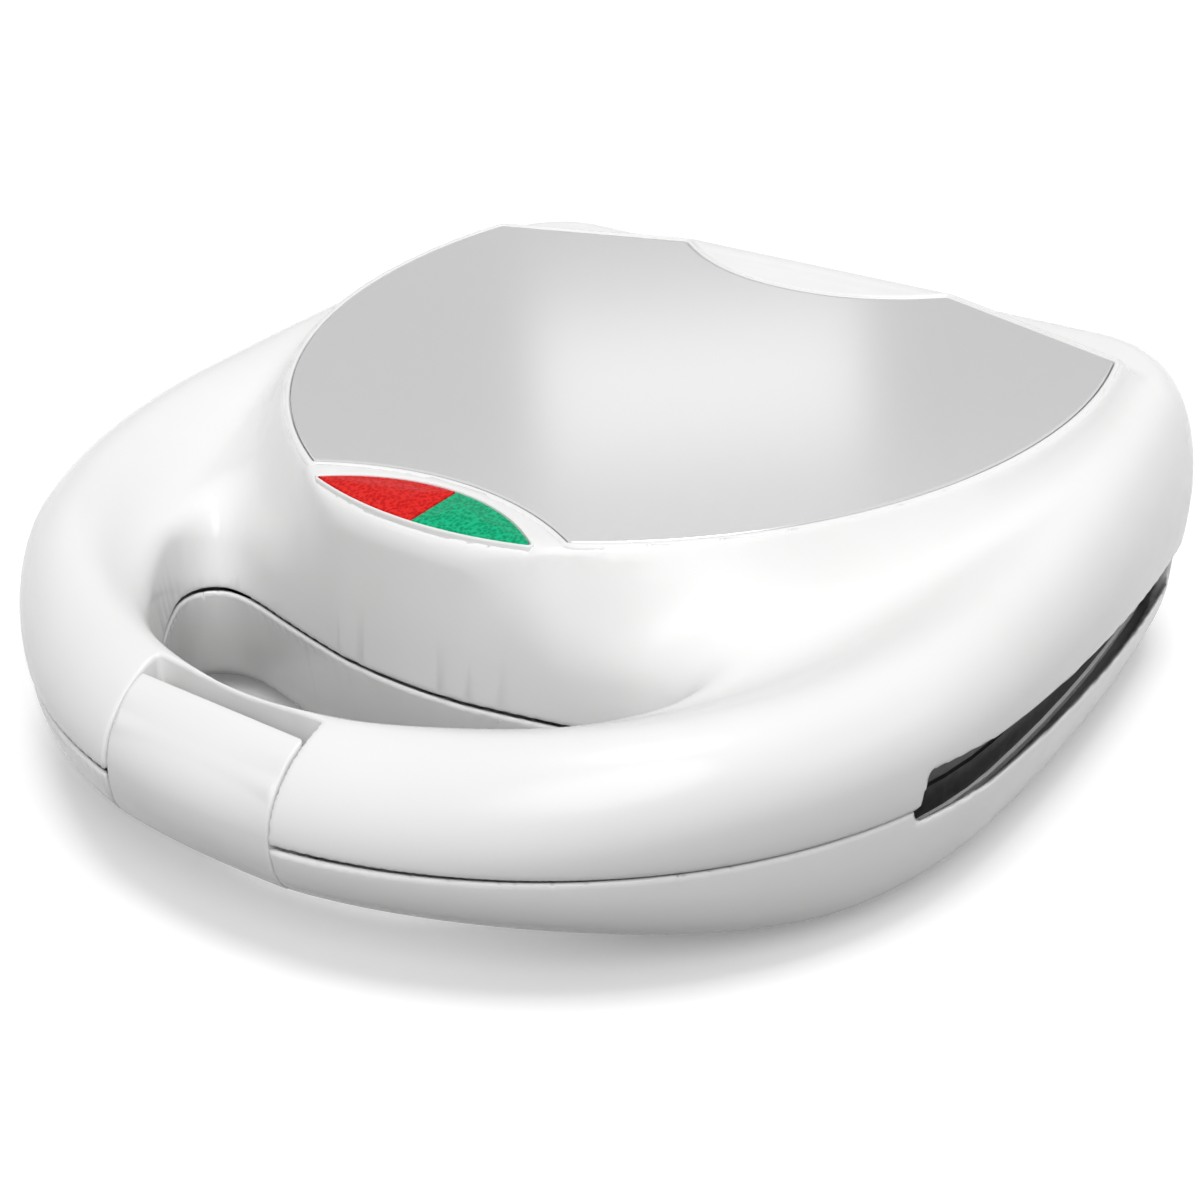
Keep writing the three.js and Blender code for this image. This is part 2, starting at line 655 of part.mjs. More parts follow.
const POCKET_BOTTOM = PLATE_FACE_GAP + POCKET_DEPTH + PLATE_WALL;
const HEATER_LEVEL = POCKET_BOTTOM + CLEARANCE + HEATER_RADIUS;
const REFLECTOR_LEVEL = HEATER_LEVEL + HEATER_RADIUS + CLEARANCE;
const REFLECTOR_BACK = REFLECTOR_LEVEL + REFLECTOR_THICKNESS;

function lidBody(wall) {
  const top = (x, y) => lidTop(x, y, wall);
  return shellBody(-wall, rimBulge, top, widestHeight, LID_STATIONS, OUTLINES.dome).subtract(lidHole(wall));
}

// Built upside down, then turned over, so its depth becomes a height.
function baseBody(wall) {
  const depth = (x, y) => baseDepth(x, y, wall);
  const body = shellBody(-wall, () => 0, depth, () => 0, BASE_STATIONS, OUTLINES.underside);
  return turned(body).subtract(baseHole(wall));
}

// The finger hole as a solid that widens away from the seam.
function holeSolid(grow, top, slopeAt) {
  const ring = (z, rise) => moved(OUTLINES.hole, (point) => grow + rise / slopeAt(point)).map(
    ([x, y]) => [x, y, z]);
  const levels = HOLE_LEVEL_SHARES.map((share) => share * top);
  return loft([ring(-OVERRUN, 0), ...levels.map((z) => ring(z, z))]);
}

function lidHole(grow) {
  return holeSolid(grow, CREST_BACK, holeSlope);
}

function baseHole(grow) {
  return turned(holeSolid(grow, BASE_DEPTH + OVERRUN, () => BASE_HOLE_SLOPE));
}

// Cutters for both side slots, from the levels of their lower and upper edges at the front and at the back.
function slotCutters(lower, upper) {
  const inner = SEAM_HALF_WIDTH - OVERRUN;
  const backY = SEAM_DEPTH - SLOT_BACK_INSET;
  const profile = [[SLOT_FRONT_Y, lower[0]], [backY, lower[1]], [backY, upper[1]], [SLOT_FRONT_Y, upper[0]]];
  return crossPrism(profile, inner, FAR).add(crossPrism(profile, -FAR, -inner));
}

// The space that the latch swings in: open through the seam in front, with a floor and a back wall in
// the lid.
function latchSpace(grow) {
  const front = -OVERRUN;
  const openY = LATCH_BACK_Y + LATCH_GAP + grow;
  const floorZ = RECESS_FLOOR_Z - grow;
  const wallY = RECESS_BACK_Y + grow;
  const profile = [[front, -BASE_DEPTH], [openY, -BASE_DEPTH], [openY, floorZ], [wallY, floorZ],
    [wallY, CREST_BACK], [front, CREST_BACK]];
  const half = LATCH_HALF + LATCH_GAP + grow;
  return crossPrism(profile, -half, half);
}

function screwHoles(bottom, top) {
  return joined(SCREW_PLACES.map(([x, y]) => post(x, y, SCREW_RADIUS + CLEARANCE, bottom, top, 10)));
}

function lidShell() {
  const outer = lidBody(0).intersect(ABOVE_SEAM);
  const cavity = lidBody(WALL).subtract(latchSpace(WALL));
  const posts = POST_PLACES.map(([x, y]) => post(x, y, POST_RADIUS, REFLECTOR_BACK + CLEARANCE, CREST_BACK));
  const bossBottom = DECK_LEVEL + DECK_THICKNESS + CLEARANCE;
  const bosses = SCREW_PLACES.map(([x, y]) => post(x, y, BOSS_RADIUS, bossBottom, CREST_BACK));
  const lampBosses = LAMP_BOSS_PLACES.map(([x, y]) => post(x, y, LAMP_BOSS_RADIUS, LAMP_TRAY_Z, CREST_BACK));
  const carriers = joined([...posts, ...bosses, ...lampBosses]).intersect(outer);
  const pinHalf = LATCH_HALF + LATCH_GAP + LATCH_PIN_GRIP + CLEARANCE;
  return outer.subtract(cavity).add(carriers)
    .subtract(knuckleRoom([-KNUCKLE_PITCH, KNUCKLE_PITCH])).add(lidKnuckles()).subtract(hingeBores())
    .subtract(latchSpace(0))
    .subtract(slotCutters([-OVERRUN, -OVERRUN], [SLOT_ABOVE, SLOT_ABOVE_BACK]))
    .subtract(crossRod(0, LATCH_PIVOT_Y, LATCH_PIVOT_Z, LATCH_PIN_RADIUS + CLEARANCE, 2 * pinHalf))
    .subtract(panelCutter()).subtract(lensCutter())
    .subtract(screwHoles(-OVERRUN, DECK_LEVEL + LID_SCREW_LENGTH));
}

// Panel and lens

const PANEL_TILT = Math.atan2(PANEL_RISE, PANEL_BACK_Y - PANEL_FRONT_Y);

// Lays a flat solid, drawn at height zero, on the tilted plane of the panel.
function onPanelPlane(solid) {
  const geometry = geometryOf(solid).translate(0, -PANEL_FRONT_Y, 0).rotateX(PANEL_TILT);
  return solidOf(geometry.translate(0, PANEL_FRONT_Y, PANEL_FRONT_HEIGHT));
}

function panelCutter() {
  return onPanelPlane(prism(grown(panelOutline(), CLEARANCE), -PANEL_THICKNESS - CLEARANCE, OVERRUN));
}

function topPanel() {
  return onPanelPlane(prism(panelOutline(), -PANEL_THICKNESS, 0));
}

function lensOutline(grow) {
  const front = bow([-LENS_HALF, LENS_Y], [LENS_HALF, LENS_Y], LENS_FRONT_BULGE, 8);
  const back = bow([LENS_HALF, LENS_Y], [-LENS_HALF, LENS_Y], LENS_BACK_BULGE, 8);
  return grown([...front.slice(0, -1), ...back.slice(0, -1)], grow);
}

function lensCutter() {
  return onPanelPlane(prism(lensOutline(CLEARANCE), -OVERRUN, OVERRUN));
}

function lensHalf(side) {
  const edge = LENS_SPLIT_OFFSET + side * LENS_SPLIT / 2;
  const [low, high] = span(edge, side * FAR);
  const keep = block([low, 0, -OVERRUN], [high, SEAM_DEPTH, OVERRUN]);
  return onPanelPlane(prism(lensOutline(0), -LENS_THICKNESS, 0).intersect(keep));
}

// Hinge

const KNUCKLE_PITCH = KNUCKLE_WIDTH + CLEARANCE;

function knuckle(x, webFrom, webTo) {
  const barrel = crossRod(x, HINGE_Y, HINGE_ABOVE, KNUCKLE_RADIUS, KNUCKLE_WIDTH);
  const half = KNUCKLE_WIDTH / 2;
  const low = [x - half, SEAM_DEPTH - WALL / 2, Math.min(webFrom, webTo)];
  const high = [x + half, HINGE_Y + KNUCKLE_RADIUS / 2, Math.max(webFrom, webTo)];
  return barrel.add(block(low, high));
}

const HINGE_BORE = HINGE_PIN_RADIUS + CLEARANCE;

function hingeBores() {
  const width = 4 * KNUCKLE_WIDTH;
  return crossRod(-HINGE_SPREAD, HINGE_Y, HINGE_ABOVE, HINGE_BORE, width).add(
    crossRod(HINGE_SPREAD, HINGE_Y, HINGE_ABOVE, HINGE_BORE, width));
}

function lidKnuckles() {
  const knuckles = [-1, 1].map((side) => knuckle(side * HINGE_SPREAD, HINGE_ABOVE, KNUCKLE_WEB));
  return joined(knuckles);
}

function baseKnuckles() {
  const knuckles = [-1, 1].flatMap((side) => [-1, 1].map(
    (outer) => knuckle(side * HINGE_SPREAD + outer * KNUCKLE_PITCH, HINGE_ABOVE, -KNUCKLE_WEB)));
  return joined(knuckles);
}

// Room in each shell for the other shell's knuckles, at every opening of the lid.
function knuckleRoom(offsets) {
  const half = KNUCKLE_WIDTH / 2 + CLEARANCE;
  const rods = [-1, 1].flatMap((side) => offsets.map((offset) => crossRod(
    side * HINGE_SPREAD + offset, HINGE_Y, HINGE_ABOVE, KNUCKLE_RADIUS + 2 * CLEARANCE, 2 * half)));
  return joined(rods);
}

function hingePin(side) {
  return crossRod(side * HINGE_SPREAD, HINGE_Y, HINGE_ABOVE, HINGE_PIN_RADIUS, 3 * KNUCKLE_WIDTH);
}

// Decks

function deck(direction) {
  const fit = WALL + DECK_FIT;
  const levels = span(direction * DECK_LEVEL, direction * (DECK_LEVEL + DECK_THICKNESS));
  const slab = block([-FAR, -FAR, levels[0]], [FAR, SEAM_DEPTH + FAR, levels[1]]);
  const inside = direction > 0 ? lidBody(fit) : baseBody(fit);
  const opening = prism(plateOutline(-DECK_LIP), -OVERRUN, OVERRUN);
  const inletRoom = inletRod(INLET_FLANGE_RADIUS + CLEARANCE, SEAM_DEPTH - BASE_ROUND, SEAM_DEPTH);
  return slab.intersect(inside).subtract(opening).subtract(latchSpace(fit))
    .subtract(screwHoles(-OVERRUN, OVERRUN)).subtract(inletRoom);
}

// Hot plates, drawn for the base, with their cooking face just below the seam

function plateOutline(grow) {
  const side = seamOutline(grow - PLATE_INSET).filter(([x, y]) => x > 0 && y > PLATE_FRONT_Y - grow
    && y < PLATE_BACK_Y + grow);
  const nearest = (y) => seamOutline(grow - PLATE_INSET).filter(([x]) => x > 0).reduce((best, point) => (
    Math.abs(point[1] - y) < Math.abs(best[1] - y) ? point : best));
  const frontX = nearest(PLATE_FRONT_Y - grow)[0];
  const backX = Math.min(side.at(-1)[0], nearest(PLATE_BACK_Y + grow)[0]);
  return mirrored([[0, PLATE_FRONT_Y - grow], [frontX, PLATE_FRONT_Y - grow], ...side,
    [backX, PLATE_BACK_Y + grow], [0, PLATE_BACK_Y + grow]]);
}

// Outline of one of the two triangles of a sandwich pocket, with rounded corners.
function pocketOutline(half, inset) {
  const left = POCKET_HALF_SPLIT;
  const right = POCKET_HALF_SPLIT + POCKET_WIDTH;
  const front = POCKET_FRONT_Y;
  const back = POCKET_FRONT_Y + POCKET_LENGTH;
  const gap = POCKET_DIAGONAL_GAP;
  const corners = half === "inner"
    ? [[left, front + gap], [right - gap, back], [left, back]]
    : [[left + gap, front], [right, front], [right, back - gap]];
  const moved = insetCorners(corners.map(([x, y]) => new THREE.Vector2(x, y)), inset);
  return moved.flatMap((corner, i) => {
    const before = moved.at(i - 1).clone().sub(corner);
    const after = moved[(i + 1) % moved.length].clone().sub(corner);
    const entry = corner.clone().add(before.setLength(POCKET_CORNER));
    const exit = corner.clone().add(after.setLength(POCKET_CORNER));
    const rounded = new THREE.QuadraticBezierCurve(entry, corner, exit);
    return rounded.getPoints(4).map((point) => [point.x, point.y]);
  });
}

// Moves the sides of a counterclockwise triangle inwards by a distance.
function insetCorners(corners, distance) {
  return corners.map((corner, i) => {
    const toBefore = corners.at(i - 1).clone().sub(corner).normalize();
    const toAfter = corners[(i + 1) % corners.length].clone().sub(corner).normalize();
    const bisector = toBefore.clone().add(toAfter).normalize();
    const sine = Math.sqrt((1 - toBefore.dot(toAfter)) / 2);
    return corner.clone().addScaledVector(bisector, distance / sine);
  });
}

// A pocket's solid from its floor up to its face, with sloped sides.
function pocketSolid(half, side, grow, face, floor) {
  const rings = [
    pocketOutline(half, POCKET_DRAFT - grow).map(([x, y]) => [x, y, floor]),
    pocketOutline(half, POCKET_DRAFT / 4 - grow).map(([x, y]) => [x, y, floor + POCKET_DRAFT / 2]),
    pocketOutline(half, -grow).map(([x, y]) => [x, y, face])];
  const solid = loft(rings);
  return side > 0 ? solid : mirroredSolid(solid);
}

function mirroredSolid(solid) {
  const geometry = geometryOf(solid).scale(-1, 1, 1);
  const index = geometry.index.array;
  for (let i = 0; i < index.length; i += 3) {
    [index[i], index[i + 1]] = [index[i + 1], index[i]];
  }
  return solidOf(geometry);
}

function hotPlate() {
  const face = -PLATE_FACE_GAP;
  const flangeBottom = -DECK_LEVEL + CLEARANCE;
  let plate = prism(plateOutline(0), flangeBottom, face);
  for (const side of [-1, 1]) {
    for (const half of ["inner", "outer"]) {
      plate = plate.add(pocketSolid(half, side, PLATE_WALL, face - CLEARANCE, -POCKET_BOTTOM));
    }
  }
  for (const side of [-1, 1]) {
    for (const half of ["inner", "outer"]) {
      plate = plate.subtract(pocketSolid(half, side, 0, OVERRUN / 2, face - POCKET_DEPTH));
    }
  }
  return plate;
}

// Heater rod bent round under the plate, open at the back where its tails lie side by side.
class RoundedPath extends THREE.CurvePath {
  constructor(corners, radius) {
    super();
    let from = corners[0];
    for (let i = 1; i + 1 < corners.length; i++) {
      const entry = corners[i].clone().add(corners[i - 1].clone().sub(corners[i]).setLength(radius));
      const exit = corners[i].clone().add(corners[i + 1].clone().sub(corners[i]).setLength(radius));
      this.add(new THREE.LineCurve3(from, entry));
      this.add(new THREE.QuadraticBezierCurve3(entry, corners[i], exit));
      from = exit;
    }
    this.add(new THREE.LineCurve3(from, corners.at(-1)));
  }
}

function circleShape(radius, sides) {
  return new THREE.Shape(arc([0, 0], radius, 0, 2 * Math.PI * (1 - 1 / sides), sides - 1)
    .map(([x, y]) => new THREE.Vector2(x, y)));
}

function heater() {
  const point = (x, y) => new THREE.Vector3(x, y, -HEATER_LEVEL);
  const corners = [
    point(-HEATER_TAIL_HALF, HEATER_BACK_Y + HEATER_TAIL), point(-HEATER_TAIL_HALF, HEATER_BACK_Y),
    point(-HEATER_HALF_WIDTH, HEATER_BACK_Y), point(-HEATER_HALF_WIDTH, HEATER_FRONT_Y),
    point(HEATER_HALF_WIDTH, HEATER_FRONT_Y), point(HEATER_HALF_WIDTH, HEATER_BACK_Y),
    point(HEATER_TAIL_HALF, HEATER_BACK_Y), point(HEATER_TAIL_HALF, HEATER_BACK_Y + HEATER_TAIL)];
  const path = new RoundedPath(corners, HEATER_BEND);
  return solidOf(new THREE.ExtrudeGeometry(circleShape(HEATER_RADIUS, 8), {
    steps: 44, extrudePath: path, bevelEnabled: false }));
}

function reflector() {
  const box = (grow, bottom, top) => block(
    [-REFLECTOR_HALF_WIDTH + grow, REFLECTOR_FRONT_Y + grow, bottom],
    [REFLECTOR_HALF_WIDTH - grow, REFLECTOR_BACK_Y - grow, top]);
  const rimTopZ = -REFLECTOR_LEVEL + REFLECTOR_RIM;
  let tray = box(0, -REFLECTOR_BACK, rimTopZ).subtract(box(REFLECTOR_THICKNESS, -REFLECTOR_LEVEL, OVERRUN));
  const tails = [-HEATER_TAIL_HALF - 2 * HEATER_RADIUS, HEATER_TAIL_HALF + 2 * HEATER_RADIUS];
  tray = tray.subtract(block([tails[0], HEATER_BACK_Y, -REFLECTOR_LEVEL], [tails[1], SEAM_DEPTH, OVERRUN]));
  return tray;
}

// Base

function baseShell() {
  const outer = baseBody(0).intersect(BELOW_SEAM);
  const cavity = baseBody(WALL).subtract(latchSpace(WALL));
  const postTop = -REFLECTOR_BACK - CLEARANCE;
  const posts = POST_PLACES.map(([x, y]) => post(x, y, POST_RADIUS, -BASE_DEPTH, postTop));
  const bossTop = -DECK_LEVEL - DECK_THICKNESS - CLEARANCE;
  const bosses = SCREW_PLACES.map(([x, y]) => post(x, y, BOSS_RADIUS, -BASE_DEPTH, bossTop));
  const headTop = -BASE_DEPTH + WALL + SCREW_HEAD_HEIGHT + 2 * CLEARANCE;
  const headRadius = SCREW_HEAD_RADIUS + CLEARANCE;
  const heads = SCREW_PLACES.map(([x, y]) => post(x, y, headRadius, -SEAM_HEIGHT, headTop, 12));
  return outer.subtract(cavity).add(joined([...posts, ...bosses]).intersect(outer)).add(inletPad())
    .subtract(knuckleRoom([0])).add(baseKnuckles()).subtract(hingeBores())
    .subtract(latchSpace(0))
    .subtract(slotCutters([-SLOT_BELOW, -SLOT_BELOW_BACK], [OVERRUN, OVERRUN]))
    .subtract(inletRod(INLET_RADIUS + CLEARANCE, SEAM_DEPTH - 2 * BASE_ROUND, SEAM_DEPTH + OVERRUN))
    .subtract(screwHoles(-SEAM_HEIGHT, OVERRUN)).subtract(joined(heads));
}

// A rod along the lead's way into the base.
function inletRod(radius, from, to) {
  const geometry = new THREE.CylinderGeometry(radius, radius, to - from, ROUND_SIDES);
  return solidOf(geometry.translate(INLET_X, (from + to) / 2, -INLET_DEPTH));
}

// The flat pad on the back wall that the inlet's flange seats on.
function inletPad() {
  return inletRod(INLET_FLANGE_RADIUS, SEAM_DEPTH - BASE_ROUND / 2, SEAM_DEPTH);
}

function screw(x, y, headBottom, length) {
  const head = post(x, y, SCREW_HEAD_RADIUS, headBottom, headBottom + SCREW_HEAD_HEIGHT, 12);
  return head.add(post(x, y, SCREW_RADIUS, headBottom, headBottom + length, 10));
}

function span(a, b) {
  return [Math.min(a, b), Math.max(a, b)];
}

function foot(x, y) {
  const profile = FOOT_PROFILE_SHARES.map(
    ([r, h]) => new THREE.Vector2(r * FOOT_RADIUS, h * (FOOT_HEIGHT - CLEARANCE)));
  const geometry = new THREE.LatheGeometry(profile, ROUND_SIDES).rotateX(Math.PI / 2);
  return geometry.translate(x, y, -SEAM_HEIGHT);
}

function cordInlet() {
  const outer = -INLET_FLANGE;
  const profile = [[INLET_BORE_RADIUS, outer], [INLET_FLANGE_RADIUS, outer], [INLET_FLANGE_RADIUS, 0],
    [INLET_RADIUS, 0], [INLET_RADIUS, INLET_LENGTH], [INLET_BORE_RADIUS, INLET_LENGTH],
    [INLET_BORE_RADIUS, outer]].reverse().map(([r, h]) => new THREE.Vector2(r, -h));
  const geometry = new THREE.LatheGeometry(profile, ROUND_SIDES);
  return geometry.translate(INLET_X, SEAM_DEPTH + CLEARANCE, -INLET_DEPTH);
}

// Latch, curved across like the rim that it sits in

// The section of the latch's outer face at its middle, from the rear edge over the front to the toe. It
// follows the lid's rim above the seam and the base's wall below it, and lies a little deeper than both.
function latchOuter() {
  const above = Array.from({ length: 9 }, (_, i) => {
    const y = LATCH_REAR_EDGE_Y * (1 - Math.sin((i / 9) * Math.PI / 2));
    return [y, rimRounding(y, y, 0)];
  });
  const below = Array.from({ length: 8 }, (_, i) => {
    const depth = LATCH_TOE_DEPTH * Math.sin((i / 7) * Math.PI / 2);
    const share = (depth / BASE_DEPTH_FRONT) ** BASE_ROUND_POWER;
    return [BASE_ROUND * (1 - (1 - share) ** (1 / BASE_ROUND_POWER)), -depth];
  });
  return [...above, ...below].map((point) => towardsPivot(point, LATCH_SINK));
}

function towardsPivot([y, z], distance) {
  const away = new THREE.Vector2(y - LATCH_PIVOT_Y, z - LATCH_PIVOT_Z).normalize();
  return [y - away.x * distance, z - away.y * distance];
}

// Sweeps a section across the latch, bent like the rim in front and straight at the back.
function sweptLatch(profile, half) {
  const sections = Array.from({ length: 9 }, (_, i) => {
    const x = mix(-half, half, i / 8);
    const shift = x * x / (2 * SEAM_HALF_WIDTH);
    return profile.map(([y, z]) => [x, y + shift * clamp01(1 - y / LATCH_BACK_Y), z]);
  });
  return loft(sections, ([, y, z]) => new THREE.Vector2(y, z));
}

function latchClip() {
  const outer = latchOuter();
  const barrelRadius = LATCH_PIN_RADIUS + LATCH_SIDE;
  const barrelBottom = LATCH_PIVOT_Z - barrelRadius;
  const barrelBack = LATCH_PIVOT_Y + barrelRadius;
  const rear = outer[0];
  const back = [[LATCH_BACK_Y, outer.at(-1)[1]], [LATCH_BACK_Y, barrelBottom],
    [barrelBack, LATCH_PIVOT_Z - barrelRadius / 2], [barrelBack, LATCH_PIVOT_Z + barrelRadius],
    [rear[0], rear[1] - LATCH_SKIN]];
  const full = sweptLatch([...outer, ...back], LATCH_HALF);
  const inner = outer.slice(1, -1).map((point) => towardsPivot(point, LATCH_SKIN));
  const hollow = [...inner, [LATCH_BACK_Y + OVERRUN, inner.at(-1)[1]], [LATCH_BACK_Y + OVERRUN, inner[0][1]]];
  const pocket = sweptLatch(hollow, LATCH_HALF - LATCH_SIDE);
  const barrel = crossRod(0, LATCH_PIVOT_Y, LATCH_PIVOT_Z, barrelRadius, 2 * LATCH_HALF - LATCH_SIDE);
  const bore = crossRod(0, LATCH_PIVOT_Y, LATCH_PIVOT_Z, LATCH_PIN_RADIUS + CLEARANCE, 4 * LATCH_HALF);
  return full.subtract(pocket).add(barrel).subtract(bore);
}

function latchPin() {
  const half = LATCH_HALF + LATCH_GAP + LATCH_PIN_GRIP;
  return crossRod(0, LATCH_PIVOT_Y, LATCH_PIVOT_Z, LATCH_PIN_RADIUS, 2 * half, 12);
}

// Electrical pieces behind the lid's reflector and under the lens

const LAMP_TRAY_Z = PANEL_FRONT_HEIGHT - LENS_THICKNESS - CLEARANCE * 2 - 2 * LAMP_RADIUS;
const LAMP_BOSS_PLACES = [-1, 1].map((side) => [
  side * (LAMP_TRAY_LENGTH / 2 - LAMP_BOSS_INSET), LENS_Y + LAMP_TRAY_WIDTH - LAMP_BOSS_INSET]);

function lampTray() {
  return block([-LAMP_TRAY_LENGTH / 2, LENS_Y, LAMP_TRAY_Z - LAMP_TRAY_THICKNESS - CLEARANCE],
    [LAMP_TRAY_LENGTH / 2, LENS_Y + LAMP_TRAY_WIDTH, LAMP_TRAY_Z - CLEARANCE]);
}

function lamp(side) {
  return crossRod(side * LAMP_X, LAMP_Y, LAMP_TRAY_Z + LAMP_RADIUS, LAMP_RADIUS, LAMP_LENGTH, 12);
}

const SHELF = REFLECTOR_BACK + CLEARANCE;
const MIDDLE_PLATE_Y = (REFLECTOR_FRONT_Y + REFLECTOR_BACK_Y) / 2;

function thermostat() {
  const body = post(0, MIDDLE_PLATE_Y, THERMOSTAT_RADIUS, SHELF, SHELF + THERMOSTAT_HEIGHT);
  return body.add(block([-THERMOSTAT_TAB_HALF, MIDDLE_PLATE_Y - FUSE_RADIUS, SHELF],
    [THERMOSTAT_TAB_HALF, MIDDLE_PLATE_Y + FUSE_RADIUS, SHELF + REFLECTOR_THICKNESS]));
}

function thermalFuse() {
  return crossRod(0, MIDDLE_PLATE_Y - SWITCH_SPACING, SHELF + FUSE_RADIUS, FUSE_RADIUS, FUSE_LENGTH, 12);
}

function terminalBlock() {
  const y = MIDDLE_PLATE_Y + SWITCH_SPACING;
  const low = [-TERMINAL_LENGTH / 2, y, SHELF];
  return block(low, [TERMINAL_LENGTH / 2, y + TERMINAL_WIDTH, SHELF + TERMINAL_HEIGHT]);
}

// Assembly

const lowerPlate = hotPlate();
const lowerHeater = heater();
const lowerReflector = reflector();

place(base, "base_shell", baseShell(), MATERIALS.white);
place(base, "base_deck", deck(-1), MATERIALS.white);
place(base, "lower_plate", lowerPlate, MATERIALS.coating);
place(base, "lower_heater", lowerHeater, MATERIALS.heater);
place(base, "lower_reflector", lowerReflector, MATERIALS.steel);
place(base, "cord_inlet", cordInlet(), MATERIALS.rubber);
place(base, "hinge_pin_left", hingePin(-1), MATERIALS.steel);
place(base, "hinge_pin_right", hingePin(1), MATERIALS.steel);
[[-FOOT_X, FOOT_FRONT_Y], [FOOT_X, FOOT_FRONT_Y], [-FOOT_X, FOOT_BACK_Y], [FOOT_X, FOOT_BACK_Y]].forEach(
  ([x, y], i) => place(base, `foot_${CORNER_NAMES[i]}`, foot(x, y), MATERIALS.rubber));
SCREW_PLACES.forEach(([x, y], i) => {
  const head = -BASE_DEPTH + WALL + CLEARANCE;
  place(base, `base_screw_${CORNER_NAMES[i]}`, screw(x, y, head, BASE_SCREW_LENGTH), MATERIALS.steel);
});

place(lid, "lid_shell", lidShell(), MATERIALS.white);
place(lid, "lid_deck", deck(1), MATERIALS.white);
place(lid, "top_panel", topPanel(), MATERIALS.panel);
place(lid, "red_lens", lensHalf(-1), MATERIALS.red);
place(lid, "green_lens", lensHalf(1), MATERIALS.green);
place(lid, "upper_plate", turned(lowerPlate), MATERIALS.coating);
place(lid, "upper_heater", turned(lowerHeater), MATERIALS.heater);
place(lid, "upper_reflector", turned(lowerReflector), MATERIALS.steel);
place(lid, "lamp_tray", lampTray(), MATERIALS.ceramic);
place(lid, "lamp_left", lamp(-1), MATERIALS.lamp);
place(lid, "lamp_right", lamp(1), MATERIALS.lamp);
place(lid, "thermostat", thermostat(), MATERIALS.ceramic);
place(lid, "thermal_fuse", thermalFuse(), MATERIALS.ceramic);
place(lid, "terminal_block", terminalBlock(), MATERIALS.ceramic);
place(lid, "latch_pin", latchPin(), MATERIALS.steel);
SCREW_PLACES.forEach(([x, y], i) => {
  const head = DECK_LEVEL - CLEARANCE - SCREW_HEAD_HEIGHT;
  place(lid, `lid_screw_${CORNER_NAMES[i]}`, screw(x, y, head, LID_SCREW_LENGTH), MATERIALS.steel);
});

place(latch, "latch_clip", latchClip(), MATERIALS.white);

export default sandwichMaker;
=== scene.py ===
"""A white countertop sandwich maker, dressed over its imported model.
Shapes are worked out in millimetres from the seam between lid and base: x to the right, y back from the
seam's front point, z up from the seam. They become metres in the model's frame only when a mesh is made."""
import json
import math

import bmesh
import bpy
import numpy as np
from mathutils import Matrix, Vector
from mathutils.geometry import delaunay_2d_cdt


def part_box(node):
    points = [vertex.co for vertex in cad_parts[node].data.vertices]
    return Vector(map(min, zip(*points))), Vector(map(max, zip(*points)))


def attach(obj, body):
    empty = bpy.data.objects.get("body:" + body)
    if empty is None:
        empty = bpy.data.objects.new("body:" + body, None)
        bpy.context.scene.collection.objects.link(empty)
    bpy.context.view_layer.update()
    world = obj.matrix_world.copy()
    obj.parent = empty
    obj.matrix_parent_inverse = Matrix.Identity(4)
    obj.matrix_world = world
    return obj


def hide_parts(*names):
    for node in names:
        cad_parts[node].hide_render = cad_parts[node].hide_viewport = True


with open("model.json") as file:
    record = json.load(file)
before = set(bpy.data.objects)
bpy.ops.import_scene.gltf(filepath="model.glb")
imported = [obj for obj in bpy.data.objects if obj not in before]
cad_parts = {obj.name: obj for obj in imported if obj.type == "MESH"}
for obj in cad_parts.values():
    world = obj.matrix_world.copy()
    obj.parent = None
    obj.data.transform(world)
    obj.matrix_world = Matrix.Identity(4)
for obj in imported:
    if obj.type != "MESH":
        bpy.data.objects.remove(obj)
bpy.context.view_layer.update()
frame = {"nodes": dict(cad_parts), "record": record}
NODES = frame["nodes"]

# Camera
FRAME_PX = 1200
FOCAL_PX = 2087.22
CENTRE_PX = (603.10, 601.62)
SENSOR = 36
AZIMUTH = 36.5924
ELEVATION = 26.8421
ROLL = -0.028
CAMERA_PLACE = (251.79, -209.63, 203.97)
CLIP_START = 0.01

# Seam outline
SEAM_HALF_WIDTH = 111
SEAM_DEPTH = 231
SIDE_RADIUS = 520
CORNER_RADIUS = 31
SEAM_GAP = 0.6
SEAM_ROUNDING = 0.5
LIP_WIDTH = 1.1
LIP_DEPTH = 2.2
WALL = 2.6
CLEARANCE = 0.3
BASE_DEPTH = 24
FOOT_HEIGHT = 4
HINGE_BEHIND = 2.6

# Lid surface
RIM_BULGE = 2.1
RIM_WIDEST = (7, 14.5)
CREST = (21, 44.6)
CREST_BEND_SHARE = 0.5
SHOULDER = (12, 12.5)
SLIM_LENGTH = 50
SLIM_WIDEST = 6.5
SLIM_CREST = 5
SLIM_SHOULDER = 6
RIM_FALL = 13
RIM_FALL_WIDTH = 22
RIM_FALL_END_SHARE = 0.8
SHOULDER_GROWTH_SHARE = 1.5
ELLIPSE_FROM_SHARE = 0.35
ELLIPSE_WIDTH_SHARE = 0.3
LEAST_RIM_SLOPE = 1e-4
LEAST_WIDEST = 0.1
DOME_FALL = 22
DOME_REACH = 8
DOME_MARGIN = 1.5
DOME_EDGE_EASE = 2
DOME_BLEND = 7
DOME_EVENING = 3

